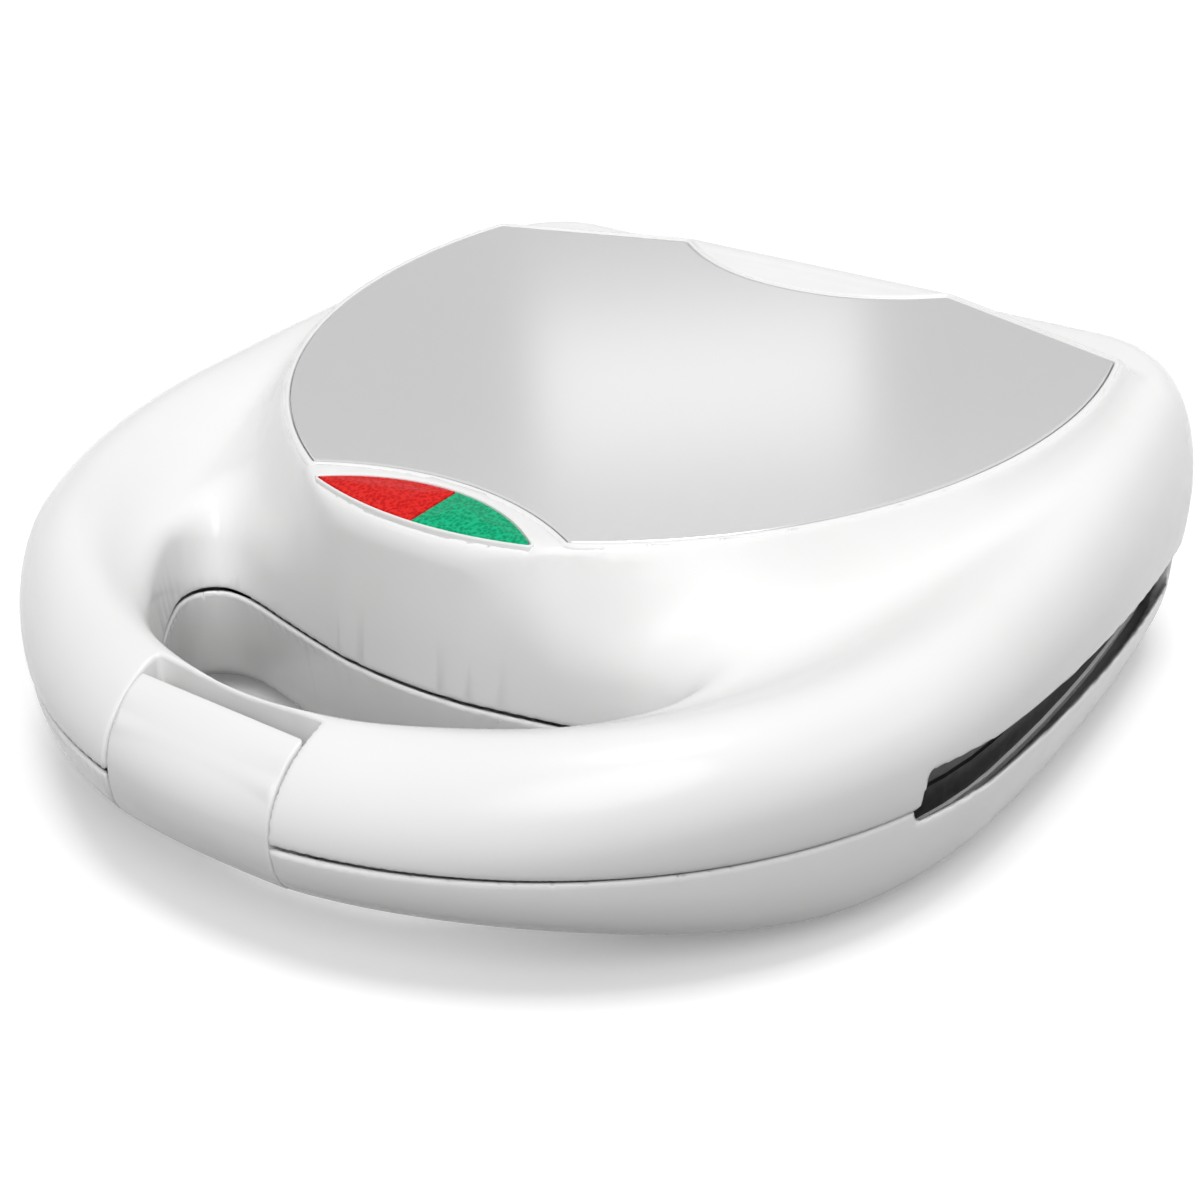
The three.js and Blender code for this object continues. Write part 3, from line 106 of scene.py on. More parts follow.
# Panel and lens
PANEL_FRONT_HALF = 33
PANEL_FRONT_Y = 74
PANEL_FRONT_HEIGHT = 35.5
PANEL_RISE = 10
PANEL_BACK_HALF = 85.5
PANEL_BACK_Y = 201
PANEL_SIDE_BULGE = 24
PANEL_FRONT_HOLLOW = 8.5
FRONT_BOW_SHARE = 0.25
PANEL_BACK_CROWN = 14.2
NOTCH_HALF = 37
NOTCH_DEPTH = 13.8
NOTCH_CURVE_POWER = 2.2
NOTCH_POINTS = 60
PANEL_THICKNESS = 1
PANEL_SEAT_MARGIN = 0.9
PANEL_SEAT_DEPTH = 1.4
LENS_HALF = 27.5
LENS_Y = 69.2
LENS_FRONT_BULGE = 4.4
LENS_BACK_BULGE = 9.5
LENS_THICKNESS = 3
LENS_SEAT_MARGIN = 0.2
LENS_SEAT_BELOW = 0.4
LENS_FLOOR_MARGIN = 3
LENS_FLOOR_DEPTH = 6
LENS_FLOOR_TOP = 1
LENS_CROWN = 0.5
LENS_CROWN_WIDTH = 5
LENS_PEAK_SPAN = (LENS_Y - 6, LENS_Y + 12)
LENS_PEAK_PITCH = 1.1
LENS_PEAK_DEPTH = 0.07
LENS_PEAK_MARGIN = 0.35
LENS_SPLIT_MARGIN = 0.3
LENS_SPLIT_POINTS = 24
LENS_SPLIT = 0.3
LENS_SPLIT_OFFSET = 1.2
LENS_ROUNDING = 5.5
LENS_ROUNDING_REACH = 10
DOME_FRONT_BULGE = 12.5

# Finger hole
HOLE_HALF = 62.3
HOLE_FRONT_Y = 20.8
HOLE_DEPTH = 39.4
HOLE_SPAN_SHARES = [
    (0, 1), (0.225, 1.02), (0.385, 1.066), (0.578, 1.135), (0.77, 1.209), (0.899, 1.233), (0.979, 1.172),
    (1, 1.037), (0.947, 0.865), (0.803, 0.582), (0.594, 0.275), (0.369, 0.091), (0, 0)]
HOLE_KNOT_POINTS = 24
HOLE_END_FROM_SHARE = 0.5
HOLE_END_WIDTH_SHARE = 0.5
HOLE_MIDDLE_SHARE = 0.5
HOLE_MIDDLE_BEND_SHARE = 0.64
HANDLE_WALL_SLOPE = 10
DOME_WALL_SLOPE = 16
END_WALL_SLOPE = 2.2
HOLE_ROUNDING = 3.5
DOME_ROUNDING = 9
HOLE_EVENING = 6

# Base
BASE_DEPTH_FRONT = 14
BASE_DEEP_FROM_Y = 5
BASE_DEEP_WIDTH = 75
BASE_ROUND = 13
BASE_ROUND_POWER = 2.3
LEAST_BASE_SHARE = 0.05
LEAST_BASE_SLOPE = 0.02
BASE_HOLE_SLOPE = 9

# Side slots, latch recess and hinge
SLOT_FRONT_Y = 81
SLOT_LENGTH = 130
SLOT_ABOVE = 8.8
SLOT_ABOVE_BACK = 2.9
SLOT_BELOW = 2.9
SLOT_BELOW_BACK = 6.6
SLOT_SKIN = 1
SLOT_UNDERCUT_SLOPE = 3
SLOT_UNDERCUT_DEPTH = 6
SLOT_INNER_X = 91
LATCH_HALF = 20.8
LATCH_GAP = 0.35
LATCH_BACK_Y = 9
LATCH_SINK = 0.8
LATCH_SKIN = 2.4
LATCH_SIDE = 2
LATCH_REAR_EDGE_Y = 13.4
LATCH_TOE_DEPTH = 12.6
LATCH_PIVOT_Y = 8
LATCH_PIVOT_Z = 8
LATCH_PIN_RADIUS = 1.5
LATCH_REAR_TURN_SHARE = 0.97
LATCH_OUTLINE_POINTS = 40
LATCH_HOLLOW_REACH = 20
RECESS_FLOOR_Z = 3.2
RECESS_BACK_Y = 17.8
HINGE_ABOVE = 0.8
HINGE_SPREAD = 60
KNUCKLE_RADIUS = 5.2
KNUCKLE_WIDTH = 11
KNUCKLE_WEB = 12
KNUCKLE_ROOM = 0.6
KNUCKLE_SIDE_ROOM = 0.15
SCREW_PLACES = ((-78, 73.5), (78, 73.5), (-58, 217), (58, 217))
SCREW_HEAD_RADIUS = 3.2
SCREW_HEAD_TOP = -19
BOSS_RADIUS = 4
BOSS_TOP = -12
FOOT_RADIUS = 8
FOOT_RINGS = [(0.28, 0.5), (0.5, 0.5), (0.56, 0), (0.86, 0), (0.96, 0.2), (1, 0.8), (0.985, 1.6)]
FOOT_TOP_ROUND = 0.3
FOOT_NECK_SHARES = (0.94, 0.9, 0.28)
FOOT_PLACES = ((-82, 92), (82, 92), (-82, 200), (82, 200))
INLET_X = -30
INLET_DEPTH = 14
INLET_RADIUS = 4
INLET_FLANGE_RADIUS = 6
INLET_PAD_MARGIN = 1
INLET_PAD_HALF = 3

# Roundings
FINE_ROUNDING = 0.3
CUT_ROUNDING = 0.4
BOX_ROUNDING = 0.5
INNER_ROUNDING = 0.6
EDGE_ROUNDING = 0.8
WEB_ROUNDING = 1.2
FILLET = 1.5
SLOT_ROUNDING = 2

# Fineness
CELL = 0.75
LATCH_CELL = 0.4
SHELL_KEPT_SHARE = 0.15
LATCH_KEPT_SHARE = 0.4
PANEL_STEP = 0.8
LENS_STEP = 0.5
SECTION_STEP = 0.3
SECTION_MARGIN = (4, 1)
NEAREST_BATCH = 20000
WELD_GAP = 1e-6
FAR = 1e3
OUTLINE_STEP = 0.6
FOOT_SIDES = 64
SMOOTH_ANGLE = 35
PANEL_SMOOTH_ANGLE = 50
LIP_SMOOTH_ANGLE = 60
LENS_SMOOTH_ANGLE = 80

SEAM_HEIGHT = BASE_DEPTH + FOOT_HEIGHT
HINGE_Y = SEAM_DEPTH + HINGE_BEHIND
PIN_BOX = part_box("hinge_pin_left")
MIDDLE_Y = HINGE_Y - 1000 * (PIN_BOX[0].y + PIN_BOX[1].y) / 2


def in_frame(points):
    """Seam-frame millimetres to the model's metres."""
    return (np.asarray(points, float) + (0, -MIDDLE_Y, SEAM_HEIGHT)) / 1000


# Small curves

def clamp01(t):
    return np.clip(t, 0, 1)


def ease(t):
    u = clamp01(t)
    return u * u * (3 - 2 * u)


def mix(a, b, t):
    return a + (b - a) * t


def soft_max(a, b, blend):
    """The larger of two fields, with the corner between them rounded."""
    near = np.maximum(0, 1 - np.abs(a - b) / blend)
    return np.maximum(a, b) + blend / 4 * near * near


def soft_min(a, b, blend):
    return -soft_max(-a, -b, blend)


def arc(centre, radius, start, end):
    steps = max(2, round(abs(end - start) * radius / OUTLINE_STEP))
    turns = np.linspace(start, end, steps + 1)
    return np.stack([centre[0] + radius * np.cos(turns), centre[1] + radius * np.sin(turns)], 1)


def bow(start, end, rise):
    """Points along an arc from one point to another that bows to its right by the given rise."""
    start, end = np.array(start, float), np.array(end, float)
    chord = end - start
    length, size, side = np.hypot(*chord), abs(rise), np.sign(rise)
    radius = (length ** 2 / 4 + size ** 2) / (2 * size)
    right = np.array([chord[1], -chord[0]]) / length * side
    centre = (start + end) / 2 - right * (radius - size)
    first = math.atan2(start[1] - centre[1], start[0] - centre[0])
    half = math.asin(length / 2 / radius)
    return arc(centre, radius, first, first + 2 * half * side)


def mirrored(right):
    """A right half outline from the front to the back, closed by its own mirror image."""
    left = right[np.abs(right[:, 0]) > CLEARANCE / 2][::-1] * (-1, 1)
    return np.concatenate([right, left])


def resampled(outline, step=OUTLINE_STEP):
    """A closed outline with its points at equal spacing."""
    closed = np.concatenate([outline, outline[:1]])
    lengths = np.concatenate([[0], np.cumsum(np.hypot(*np.diff(closed, axis=0).T))])
    wanted = np.linspace(0, lengths[-1], max(8, round(lengths[-1] / step)), endpoint=False)
    return np.stack([np.interp(wanted, lengths, closed[:, k]) for k in (0, 1)], 1)


def normals_of(outline):
    """Outward unit normals of a counterclockwise outline."""
    along = np.roll(outline, -1, 0) - np.roll(outline, 1, 0)
    return np.stack([along[:, 1], -along[:, 0]], 1) / np.hypot(*along.T)[:, None]


# Outlines

def seam_outline():
    side_centre = (SEAM_HALF_WIDTH - SIDE_RADIUS, SEAM_HALF_WIDTH)
    reach = SIDE_RADIUS - CORNER_RADIUS
    corner_y = SEAM_DEPTH - CORNER_RADIUS
    turn = math.asin((corner_y - SEAM_HALF_WIDTH) / reach)
    corner_x = side_centre[0] + reach * math.cos(turn)
    return mirrored(np.concatenate([
        arc((0, SEAM_HALF_WIDTH), SEAM_HALF_WIDTH, -math.pi / 2, 0)[:-1],
        arc(side_centre, SIDE_RADIUS, 0, turn)[:-1],
        arc((corner_x, corner_y), CORNER_RADIUS, turn, math.pi / 2)]))


def panel_side():
    return bow((PANEL_FRONT_HALF, PANEL_FRONT_Y), (PANEL_BACK_HALF, PANEL_BACK_Y), PANEL_SIDE_BULGE)


def panel_outline():
    share = np.linspace(1, 0, NOTCH_POINTS)
    notch_y = PANEL_BACK_Y + PANEL_BACK_CROWN - NOTCH_DEPTH * (1 - share ** NOTCH_CURVE_POWER)
    notch = np.stack([NOTCH_HALF * share, notch_y], 1)
    front = bow((0, PANEL_FRONT_Y + PANEL_FRONT_HOLLOW), (PANEL_FRONT_HALF, PANEL_FRONT_Y),
                -PANEL_FRONT_HOLLOW * FRONT_BOW_SHARE)
    back = straight((PANEL_BACK_HALF, PANEL_BACK_Y), notch[0])
    return mirrored(np.concatenate([front[:-1], panel_side()[:-1], back[:-1], notch]))


def straight(start, end):
    steps = max(1, round(math.dist(start, end) / OUTLINE_STEP))
    return np.linspace(start, end, steps + 1)


def dome_outline():
    """The dome's edge, which follows the panel but bulges in front and runs straight past the notch."""
    crown_y = PANEL_BACK_Y + PANEL_BACK_CROWN
    front = bow((0, PANEL_FRONT_Y - DOME_FRONT_BULGE), (PANEL_FRONT_HALF, PANEL_FRONT_Y),
                DOME_FRONT_BULGE * FRONT_BOW_SHARE)
    back = straight((PANEL_BACK_HALF, PANEL_BACK_Y), (NOTCH_HALF, crown_y))
    across = straight((NOTCH_HALF, crown_y), (0, crown_y))
    return mirrored(np.concatenate([front[:-1], panel_side()[:-1], back[:-1], across]))


def hole_outline():
    """A smooth closed curve through the finger hole's knots."""
    right = np.array([(HOLE_HALF * x, HOLE_FRONT_Y + HOLE_DEPTH * y) for x, y in HOLE_SPAN_SHARES])
    knots = mirrored(right)[::-1]
    parts = []
    for i in range(len(knots)):
        a, b, c, d = (knots[(i + k) % len(knots)] for k in (-1, 0, 1, 2))
        t = np.linspace(0, 1, HOLE_KNOT_POINTS, endpoint=False)[:, None]
        parts.append(b + t * (c - a) / 2 + t ** 2 * (a - 2.5 * b + 2 * c - d / 2)
                     + t ** 3 * (1.5 * (b - c) + (d - a) / 2))
    return np.concatenate(parts)


def lens_outline():
    front = bow((-LENS_HALF, LENS_Y), (LENS_HALF, LENS_Y), LENS_FRONT_BULGE)
    back = bow((LENS_HALF, LENS_Y), (-LENS_HALF, LENS_Y), LENS_BACK_BULGE)
    return np.concatenate([front[:-1], back[:-1]])


def nearest(outline, x, y):
    """Depth inside an outline, negative outside, and the outline's nearest point, for arrays of places."""
    places = np.stack([x.ravel(), y.ravel()], 1)
    depth = np.empty(len(places))
    found = np.empty((len(places), 2))
    step = np.roll(outline, -1, 0) - outline
    normal = np.stack([step[:, 1], -step[:, 0]], 1)
    normal /= np.linalg.norm(normal, axis=1)[:, None]
    square = (outline ** 2).sum(1)
    for low in range(0, len(places), NEAREST_BATCH):
        p = places[low:low + NEAREST_BATCH]
        k = np.argmin(square - 2 * p @ outline.T, 1)
        best = np.full(len(p), np.inf)
        side = np.zeros(len(p))
        spot = np.zeros((len(p), 2))
        for j in ((k - 1) % len(outline), k):
            along = clamp01(((p - outline[j]) * step[j]).sum(1) / (step[j] ** 2).sum(1))
            point = outline[j] + along[:, None] * step[j]
            distance = np.linalg.norm(p - point, axis=1)
            closer = distance < best
            side = side + ((p - point) * normal[j]).sum(1)
            spot[closer] = point[closer]
            best = np.minimum(best, distance)
        depth[low:low + NEAREST_BATCH] = -np.sign(side) * best
        found[low:low + NEAREST_BATCH] = spot
    return depth.reshape(x.shape), found.reshape(*x.shape, 2)


OUTLINES = {
    "seam": resampled(seam_outline()),
    "dome": resampled(dome_outline()),
    "hole": resampled(hole_outline()),
    "panel": resampled(panel_outline()),
    "lens": resampled(lens_outline()),
}


# Fields on a grid, negative inside the plastic

class Grid:
    """Nodes of a box of cubes, and the flat fields over it."""

    def __init__(self, low, high, cell=CELL):
        self.low = np.array(low, float)
        self.cell = cell
        self.axes = [np.arange(a, b + cell, cell) for a, b in zip(low, high)]
        self.x, self.y = np.meshgrid(self.axes[0], self.axes[1], indexing="ij")
        self.z = self.axes[2][None, None, :].astype(np.float32)

    def flat(self, field):
        return np.asarray(field, np.float32)[:, :, None]

    def depth(self, name):
        return nearest(OUTLINES[name], self.x, self.y)


def over_slope(height):
    """The cosine of a height field's slope, which turns a height above it into a distance."""
    along_x, along_y = np.gradient(height, CELL)
    return 1 / np.sqrt(1 + along_x ** 2 + along_y ** 2)


def evened(field, width):
    """A flat field with its sharp changes spread over a width, by two passes of a moving average."""
    reach = max(1, round(width / CELL / 2))
    for axis in (0, 1, 0, 1):
        padded = np.pad(field, [(reach + 1, reach) if a == axis else (0, 0) for a in (0, 1)], mode="edge")
        total = np.cumsum(padded, axis)
        low, high = [slice(None)] * 2, [slice(None)] * 2
        low[axis], high[axis] = slice(0, -2 * reach - 1), slice(2 * reach + 1, None)
        field = (total[tuple(high)] - total[tuple(low)]) / (2 * reach + 1)
    return field


def hole_slope(spots):
    """How steep the hole's wall is at each place, and how far the place is on the dome's side."""
    x, y = spots[..., 0], spots[..., 1]
    end = ease((np.abs(x) / HOLE_HALF - HOLE_END_FROM_SHARE) / HOLE_END_WIDTH_SHARE)
    middle = HOLE_MIDDLE_SHARE + HOLE_MIDDLE_BEND_SHARE * (x / HOLE_HALF) ** 2
    side = ease((y - HOLE_FRONT_Y - HOLE_DEPTH * middle) / (HOLE_DEPTH / 4) + HOLE_MIDDLE_SHARE)
    return mix(HANDLE_WALL_SLOPE, mix(DOME_WALL_SLOPE, END_WALL_SLOPE, end), side), side


def panel_plane(y):
    """The height of the panel's tilted face."""
    return PANEL_FRONT_HEIGHT + PANEL_RISE * (y - PANEL_FRONT_Y) / (PANEL_BACK_Y - PANEL_FRONT_Y)


def box_field(grid, x=(None, None), y=(None, None), z=(None, None), blend=BOX_ROUNDING):
    """A box, open at each side that is None, with its edges rounded."""
    field = np.float32(-FAR)
    for values, (low, high) in ((grid.flat(grid.x), x), (grid.flat(grid.y), y), (grid.z, z)):
        if low is not None:
            field = soft_max(field, low - values, blend)
        if high is not None:
            field = soft_max(field, values - high, blend)
    return field


def cross_rod(grid, x, radius, half, y=HINGE_Y, z=HINGE_ABOVE):
    """A rod along x round the hinge's axis."""
    round_ = np.sqrt((grid.flat(grid.y) - y) ** 2 + (grid.z - z) ** 2) - radius
    return soft_max(round_, np.abs(grid.flat(grid.x) - x) - half, EDGE_ROUNDING)


def knuckle_field(grid, x, low, high):
    """One round of the hinge with the web that joins it to its shell."""
    half = KNUCKLE_WIDTH / 2
    across = (x - half, x + half)
    along = (SEAM_DEPTH - WALL, HINGE_Y + KNUCKLE_RADIUS / 2)
    web = box_field(grid, across, along, (low, high), WEB_ROUNDING)
    return soft_min(cross_rod(grid, x, KNUCKLE_RADIUS, half), web, FILLET)


def knuckle_room(grid, x):
    """The space that a knuckle of the other shell turns in."""
    return cross_rod(grid, x, KNUCKLE_RADIUS + KNUCKLE_ROOM, KNUCKLE_WIDTH / 2 + KNUCKLE_SIDE_ROOM)


def latch_space(grid):
    """The space of the latch and of the finger recess behind it."""
    across = (-LATCH_HALF - LATCH_GAP, LATCH_HALF + LATCH_GAP)
    deep = box_field(grid, across, (None, LATCH_BACK_Y + LATCH_GAP))
    behind = box_field(grid, across, (None, RECESS_BACK_Y), (RECESS_FLOOR_Z, None))
    return np.minimum(deep, behind)


def slot_space(grid, way, front, back, undercut=0):
    """The side slots above or below the seam, up to an edge that runs from a front to a back level.
    An undercut takes the edge deeper behind the wall's skin, so that the edge looks thin from outside."""
    sides = SLOT_INNER_X - np.abs(grid.flat(grid.x))
    y = grid.flat(grid.y)
    behind_skin = grid.flat(np.maximum(0, grid.depth("seam")[0] - SLOT_SKIN))
    deeper = np.minimum(undercut * behind_skin, SLOT_UNDERCUT_DEPTH)
    edge = way * grid.z - mix(front, back, (y - SLOT_FRONT_Y) / SLOT_LENGTH) - deeper
    window = soft_max(SLOT_FRONT_Y - y, edge, SLOT_ROUNDING)
    window = soft_max(window, y - SLOT_FRONT_Y - SLOT_LENGTH, SLOT_ROUNDING)
    return np.maximum(sides, window)


def rim_curves(y):
    """How slim the rim is, the heights of its crest and of its widest line, and its shoulder's width."""
    share = clamp01(y / SEAM_DEPTH)
    slim = 1 - ease(y / SLIM_LENGTH)
    bent = (1 - CREST_BEND_SHARE) * share + CREST_BEND_SHARE * share ** 2
    grown = clamp01(SHOULDER_GROWTH_SHARE * share)
    crest = mix(*CREST, bent) - SLIM_CREST * slim
    widest = mix(*RIM_WIDEST, grown) - SLIM_WIDEST * slim
    shoulder = mix(*SHOULDER, grown) + SLIM_SHOULDER * slim
    return slim, crest, widest, shoulder


def lid_field(grid):
    """The lid's outer body, without its cavity."""
    y = grid.y
    slim, crest, widest, shoulder = rim_curves(y)
    bulge = RIM_BULGE * (1 - slim)
    seam = grid.depth("seam")[0]
    inward = seam + bulge
    fading = clamp01(1 - clamp01(y / SEAM_DEPTH) / RIM_FALL_END_SHARE)
    fall = RIM_FALL * fading * ease((inward - shoulder) / RIM_FALL_WIDTH)
    local_crest = crest - fall
    q = np.maximum(0, 1 - inward / shoulder)
    rim = widest + (local_crest - widest) * np.sqrt(np.maximum(0, 1 - np.minimum(1, q) ** 2))
    outward = np.maximum(0, -DOME_MARGIN - grid.depth("dome")[0])
    run = outward ** 2 / (DOME_REACH * (outward + DOME_EDGE_EASE))
    dome = panel_plane(y) - DOME_FALL * (1 - np.exp(-run))
    dome = mix(dome, evened(dome, DOME_EVENING), ease(outward / DOME_EVENING))
    height = soft_max(rim, dome, DOME_BLEND)
    over = (grid.z - grid.flat(height)) * grid.flat(over_slope(height))
    span = grid.flat(local_crest - widest)
    p = np.maximum(0, grid.z - grid.flat(widest)) / span
    q3 = grid.flat(q)
    steep = 2 * np.sqrt((q3 / grid.flat(shoulder)) ** 2 + (p / span) ** 2) + LEAST_RIM_SLOPE
    ellipse = (q3 ** 2 + p ** 2 - 1) / steep
    top = mix(over, ellipse, grid.flat(ease((q - ELLIPSE_FROM_SHARE) / ELLIPSE_WIDTH_SHARE)))
    low = clamp01(1 - grid.z / grid.flat(np.maximum(widest, LEAST_WIDEST)))
    side = -(grid.flat(seam) + grid.flat(bulge) * np.sqrt(1 - low ** 2))
    field = np.where(grid.z > grid.flat(widest), top, np.maximum(side, over))
    inside, spots = grid.depth("hole")
    slope, back = hole_slope(spots)
    flare = grid.flat(evened(1 / slope, HOLE_EVENING))
    hole = (grid.flat(inside) + grid.z * flare) / np.sqrt(1 + flare ** 2)
    near_lens = ease(1 + grid.depth("lens")[0] / LENS_ROUNDING_REACH)
    dome_rounding = mix(DOME_ROUNDING, LENS_ROUNDING, near_lens)
    rounding = grid.flat(evened(mix(HOLE_ROUNDING, dome_rounding, back), HOLE_EVENING))
    return soft_max(field, hole, rounding)


def hollowed(field, wall):
    """A shell of even wall inside a body that is open below or above."""
    return soft_max(field, -(field + wall), INNER_ROUNDING)


def lid_shell_field(grid):
    """The lid's casing: hollow, with seats for panel and lens, slots, hinge rounds and the latch's recess."""
    outer_cut = soft_max(lid_field(grid), -latch_space(grid), CUT_ROUNDING)
    shell = hollowed(outer_cut, WALL)
    panel = grid.flat(grid.depth("panel")[0])
    lens = grid.flat(grid.depth("lens")[0])
    plane = grid.flat(panel_plane(grid.y))
    under = np.maximum(-panel - PANEL_SEAT_MARGIN, plane - PANEL_SEAT_DEPTH - grid.z)
    under_lens = np.maximum(-lens - LENS_SEAT_MARGIN, plane - LENS_THICKNESS - LENS_SEAT_BELOW - grid.z)
    lens_floor = np.maximum(-lens - LENS_FLOOR_MARGIN, plane - LENS_FLOOR_DEPTH - grid.z)
    lens_floor = np.maximum(lens_floor, grid.z - plane + LENS_FLOOR_TOP)
    shell = np.minimum(shell, np.maximum(lens_floor, outer_cut))
    shell = soft_max(shell, -under, CUT_ROUNDING)
    shell = soft_max(shell, -under_lens, CUT_ROUNDING)
    shell = soft_max(shell, -slot_space(grid, 1, SLOT_ABOVE, SLOT_ABOVE_BACK), EDGE_ROUNDING)
    for side in (-1, 1):
        x = side * HINGE_SPREAD
        shell = soft_min(shell, knuckle_field(grid, x, HINGE_ABOVE, KNUCKLE_WEB), FILLET)
        for way in (-1, 1):
            room = knuckle_room(grid, x + way * (KNUCKLE_WIDTH + CLEARANCE))
            shell = soft_max(shell, -room, CUT_ROUNDING)
    floor = SEAM_GAP / 2 - grid.z
    hinge = np.minimum(cross_rod(grid, -HINGE_SPREAD, KNUCKLE_RADIUS, KNUCKLE_WIDTH / 2),
                       cross_rod(grid, HINGE_SPREAD, KNUCKLE_RADIUS, KNUCKLE_WIDTH / 2))
    return np.minimum(soft_max(shell, floor, SEAM_ROUNDING), hinge)


def base_field(grid):
    """The base's outer body, shallow under the handle and deeper behind it, without its cavity."""
    seam = grid.flat(grid.depth("seam")[0])
    full = grid.flat(mix(BASE_DEPTH_FRONT, BASE_DEPTH, ease((grid.y - BASE_DEEP_FROM_Y) / BASE_DEEP_WIDTH)))
    q = np.maximum(0, 1 - seam / BASE_ROUND)
    p = np.maximum(0, -grid.z) / full
    power = BASE_ROUND_POWER
    k = (q ** power + p ** power) ** (1 / power)
    steep = np.sqrt((q ** (power - 1) / BASE_ROUND) ** 2 + (p ** (power - 1) / full) ** 2)
    steep = steep / np.maximum(k, LEAST_BASE_SHARE) ** (power - 1)
    field = (k - 1) / np.maximum(steep, LEAST_BASE_SLOPE)
    inside = grid.flat(grid.depth("hole")[0])
    hole = (inside - grid.z / BASE_HOLE_SLOPE) / math.sqrt(1 + 1 / BASE_HOLE_SLOPE ** 2)
    return soft_max(field, hole, HOLE_ROUNDING)


def base_shell_field(grid):
    """The base's casing: hollow, with screw posts, the lead's inlet, slots, hinge rounds and a step."""
    outer = soft_max(base_field(grid), -latch_space(grid), INNER_ROUNDING)
    shell = hollowed(outer, WALL)
    for x, y in SCREW_PLACES:
        round_ = np.hypot(grid.flat(grid.x) - x, grid.flat(grid.y) - y)
        boss = np.maximum(np.maximum(round_ - BOSS_RADIUS, grid.z - BOSS_TOP), outer)
        pocket = np.maximum(round_ - SCREW_HEAD_RADIUS - CLEARANCE, grid.z - SCREW_HEAD_TOP)
        shell = soft_max(np.minimum(shell, boss), -pocket, INNER_ROUNDING)
    inlet = np.hypot(grid.flat(grid.x) - INLET_X, grid.z + INLET_DEPTH)
    through = np.abs(grid.flat(grid.y) - SEAM_DEPTH + INLET_PAD_HALF) - INLET_PAD_HALF
    pad = soft_max(inlet - INLET_FLANGE_RADIUS - INLET_PAD_MARGIN, through, EDGE_ROUNDING)
    bore = np.maximum(inlet - INLET_RADIUS - CLEARANCE, SEAM_DEPTH - 2 * BASE_ROUND - grid.flat(grid.y))
    shell = soft_max(soft_min(shell, pad, FILLET), -bore, CUT_ROUNDING)
    slot = slot_space(grid, -1, SLOT_BELOW, SLOT_BELOW_BACK, SLOT_UNDERCUT_SLOPE)
    shell = soft_max(shell, -slot, EDGE_ROUNDING)
    hinge = np.float32(FAR)
    for side in (-1, 1):
        x = side * HINGE_SPREAD
        for way in (-1, 1):
            place = x + way * (KNUCKLE_WIDTH + CLEARANCE)
            shell = soft_min(shell, knuckle_field(grid, place, -KNUCKLE_WEB, HINGE_ABOVE), FILLET)
            hinge = np.minimum(hinge, cross_rod(grid, place, KNUCKLE_RADIUS, KNUCKLE_WIDTH / 2))
        shell = soft_max(shell, -knuckle_room(grid, x), CUT_ROUNDING)
    inward = grid.flat(np.minimum(grid.depth("seam")[0], -grid.depth("hole")[0]))
    rebate = np.maximum(LIP_WIDTH - inward, -grid.z - LIP_DEPTH)
    shell = soft_max(shell, -rebate, FINE_ROUNDING)
    return np.minimum(soft_max(shell, grid.z + SEAM_GAP / 2, SEAM_ROUNDING), hinge)


# Meshes from fields

def net_of(field):
    """The surface where a field is zero: one point in each cell that it crosses, and four-sided faces."""
    inside = field < 0
    count = np.zeros([n - 1 for n in field.shape], np.uint8)
    corners = [(i, j, k) for i in (0, 1) for j in (0, 1) for k in (0, 1)]
    shape = count.shape
    for i, j, k in corners:
        count += inside[i:i + shape[0], j:j + shape[1], k:k + shape[2]]
    cells = np.argwhere((count > 0) & (count < 8))
    values = {c: field[tuple((cells + c).T)] for c in corners}
    total = np.zeros((len(cells), 3))
    crossings = np.zeros(len(cells))
    for a in corners:
        for axis in range(3):
            if a[axis]:
                continue
            b = tuple(v + (k == axis) for k, v in enumerate(a))
            cross = (values[a] < 0) != (values[b] < 0)
            share = values[a] / np.where(cross, values[a] - values[b], 1)
            spot = np.tile(np.array(a, float), (len(cells), 1))
            spot[:, axis] = share
            total += np.where(cross[:, None], spot, 0)
            crossings += cross
    points = cells + total / crossings[:, None]
    number = np.full(shape, -1, np.int32)
    number[tuple(cells.T)] = np.arange(len(cells))
    faces = []
    for axis in range(3):
        u, v = [(1, 2), (2, 0), (0, 1)][axis]
        one = [slice(None)] * 3
        two = [slice(None)] * 3
        one[axis], two[axis] = slice(0, -1), slice(1, None)
        first, second = inside[tuple(one)], inside[tuple(two)]
        edges = np.argwhere(first != second)
        for across in (u, v):
            edges = edges[(edges[:, across] > 0) & (edges[:, across] < shape[across])]
        quad = []
        for du, dv in ((-1, -1), (0, -1), (0, 0), (-1, 0)):
            cell = edges.copy()
            cell[:, u] += du
            cell[:, v] += dv
            quad.append(number[tuple(cell.T)])
        quad = np.stack(quad, 1)
        flip = ~first[tuple(edges.T)]
        quad[flip] = quad[flip][:, ::-1]
        faces.append(quad)
    return points, np.concatenate(faces)


def sampled(field, places):
    """Values of a field between its nodes."""
    low = np.clip(places.astype(int), 0, np.array(field.shape[:3]) - 2)
    part = places - low
    value = 0
    for i in (0, 1):
        for j in (0, 1):
            for k in (0, 1):
                weight = np.prod(np.abs(1 - np.array([i, j, k]) - part), axis=1)
                value = value + weight * field[low[:, 0] + i, low[:, 1] + j, low[:, 2] + k]
    return value


def mesh_object(name, points, faces):
    mesh = bpy.data.meshes.new(name)
    mesh.from_pydata([tuple(p) for p in points], [], [tuple(f) for f in faces])
    mesh.update()
    made = bpy.data.objects.new(name, mesh)
    bpy.context.scene.collection.objects.link(made)
    return made


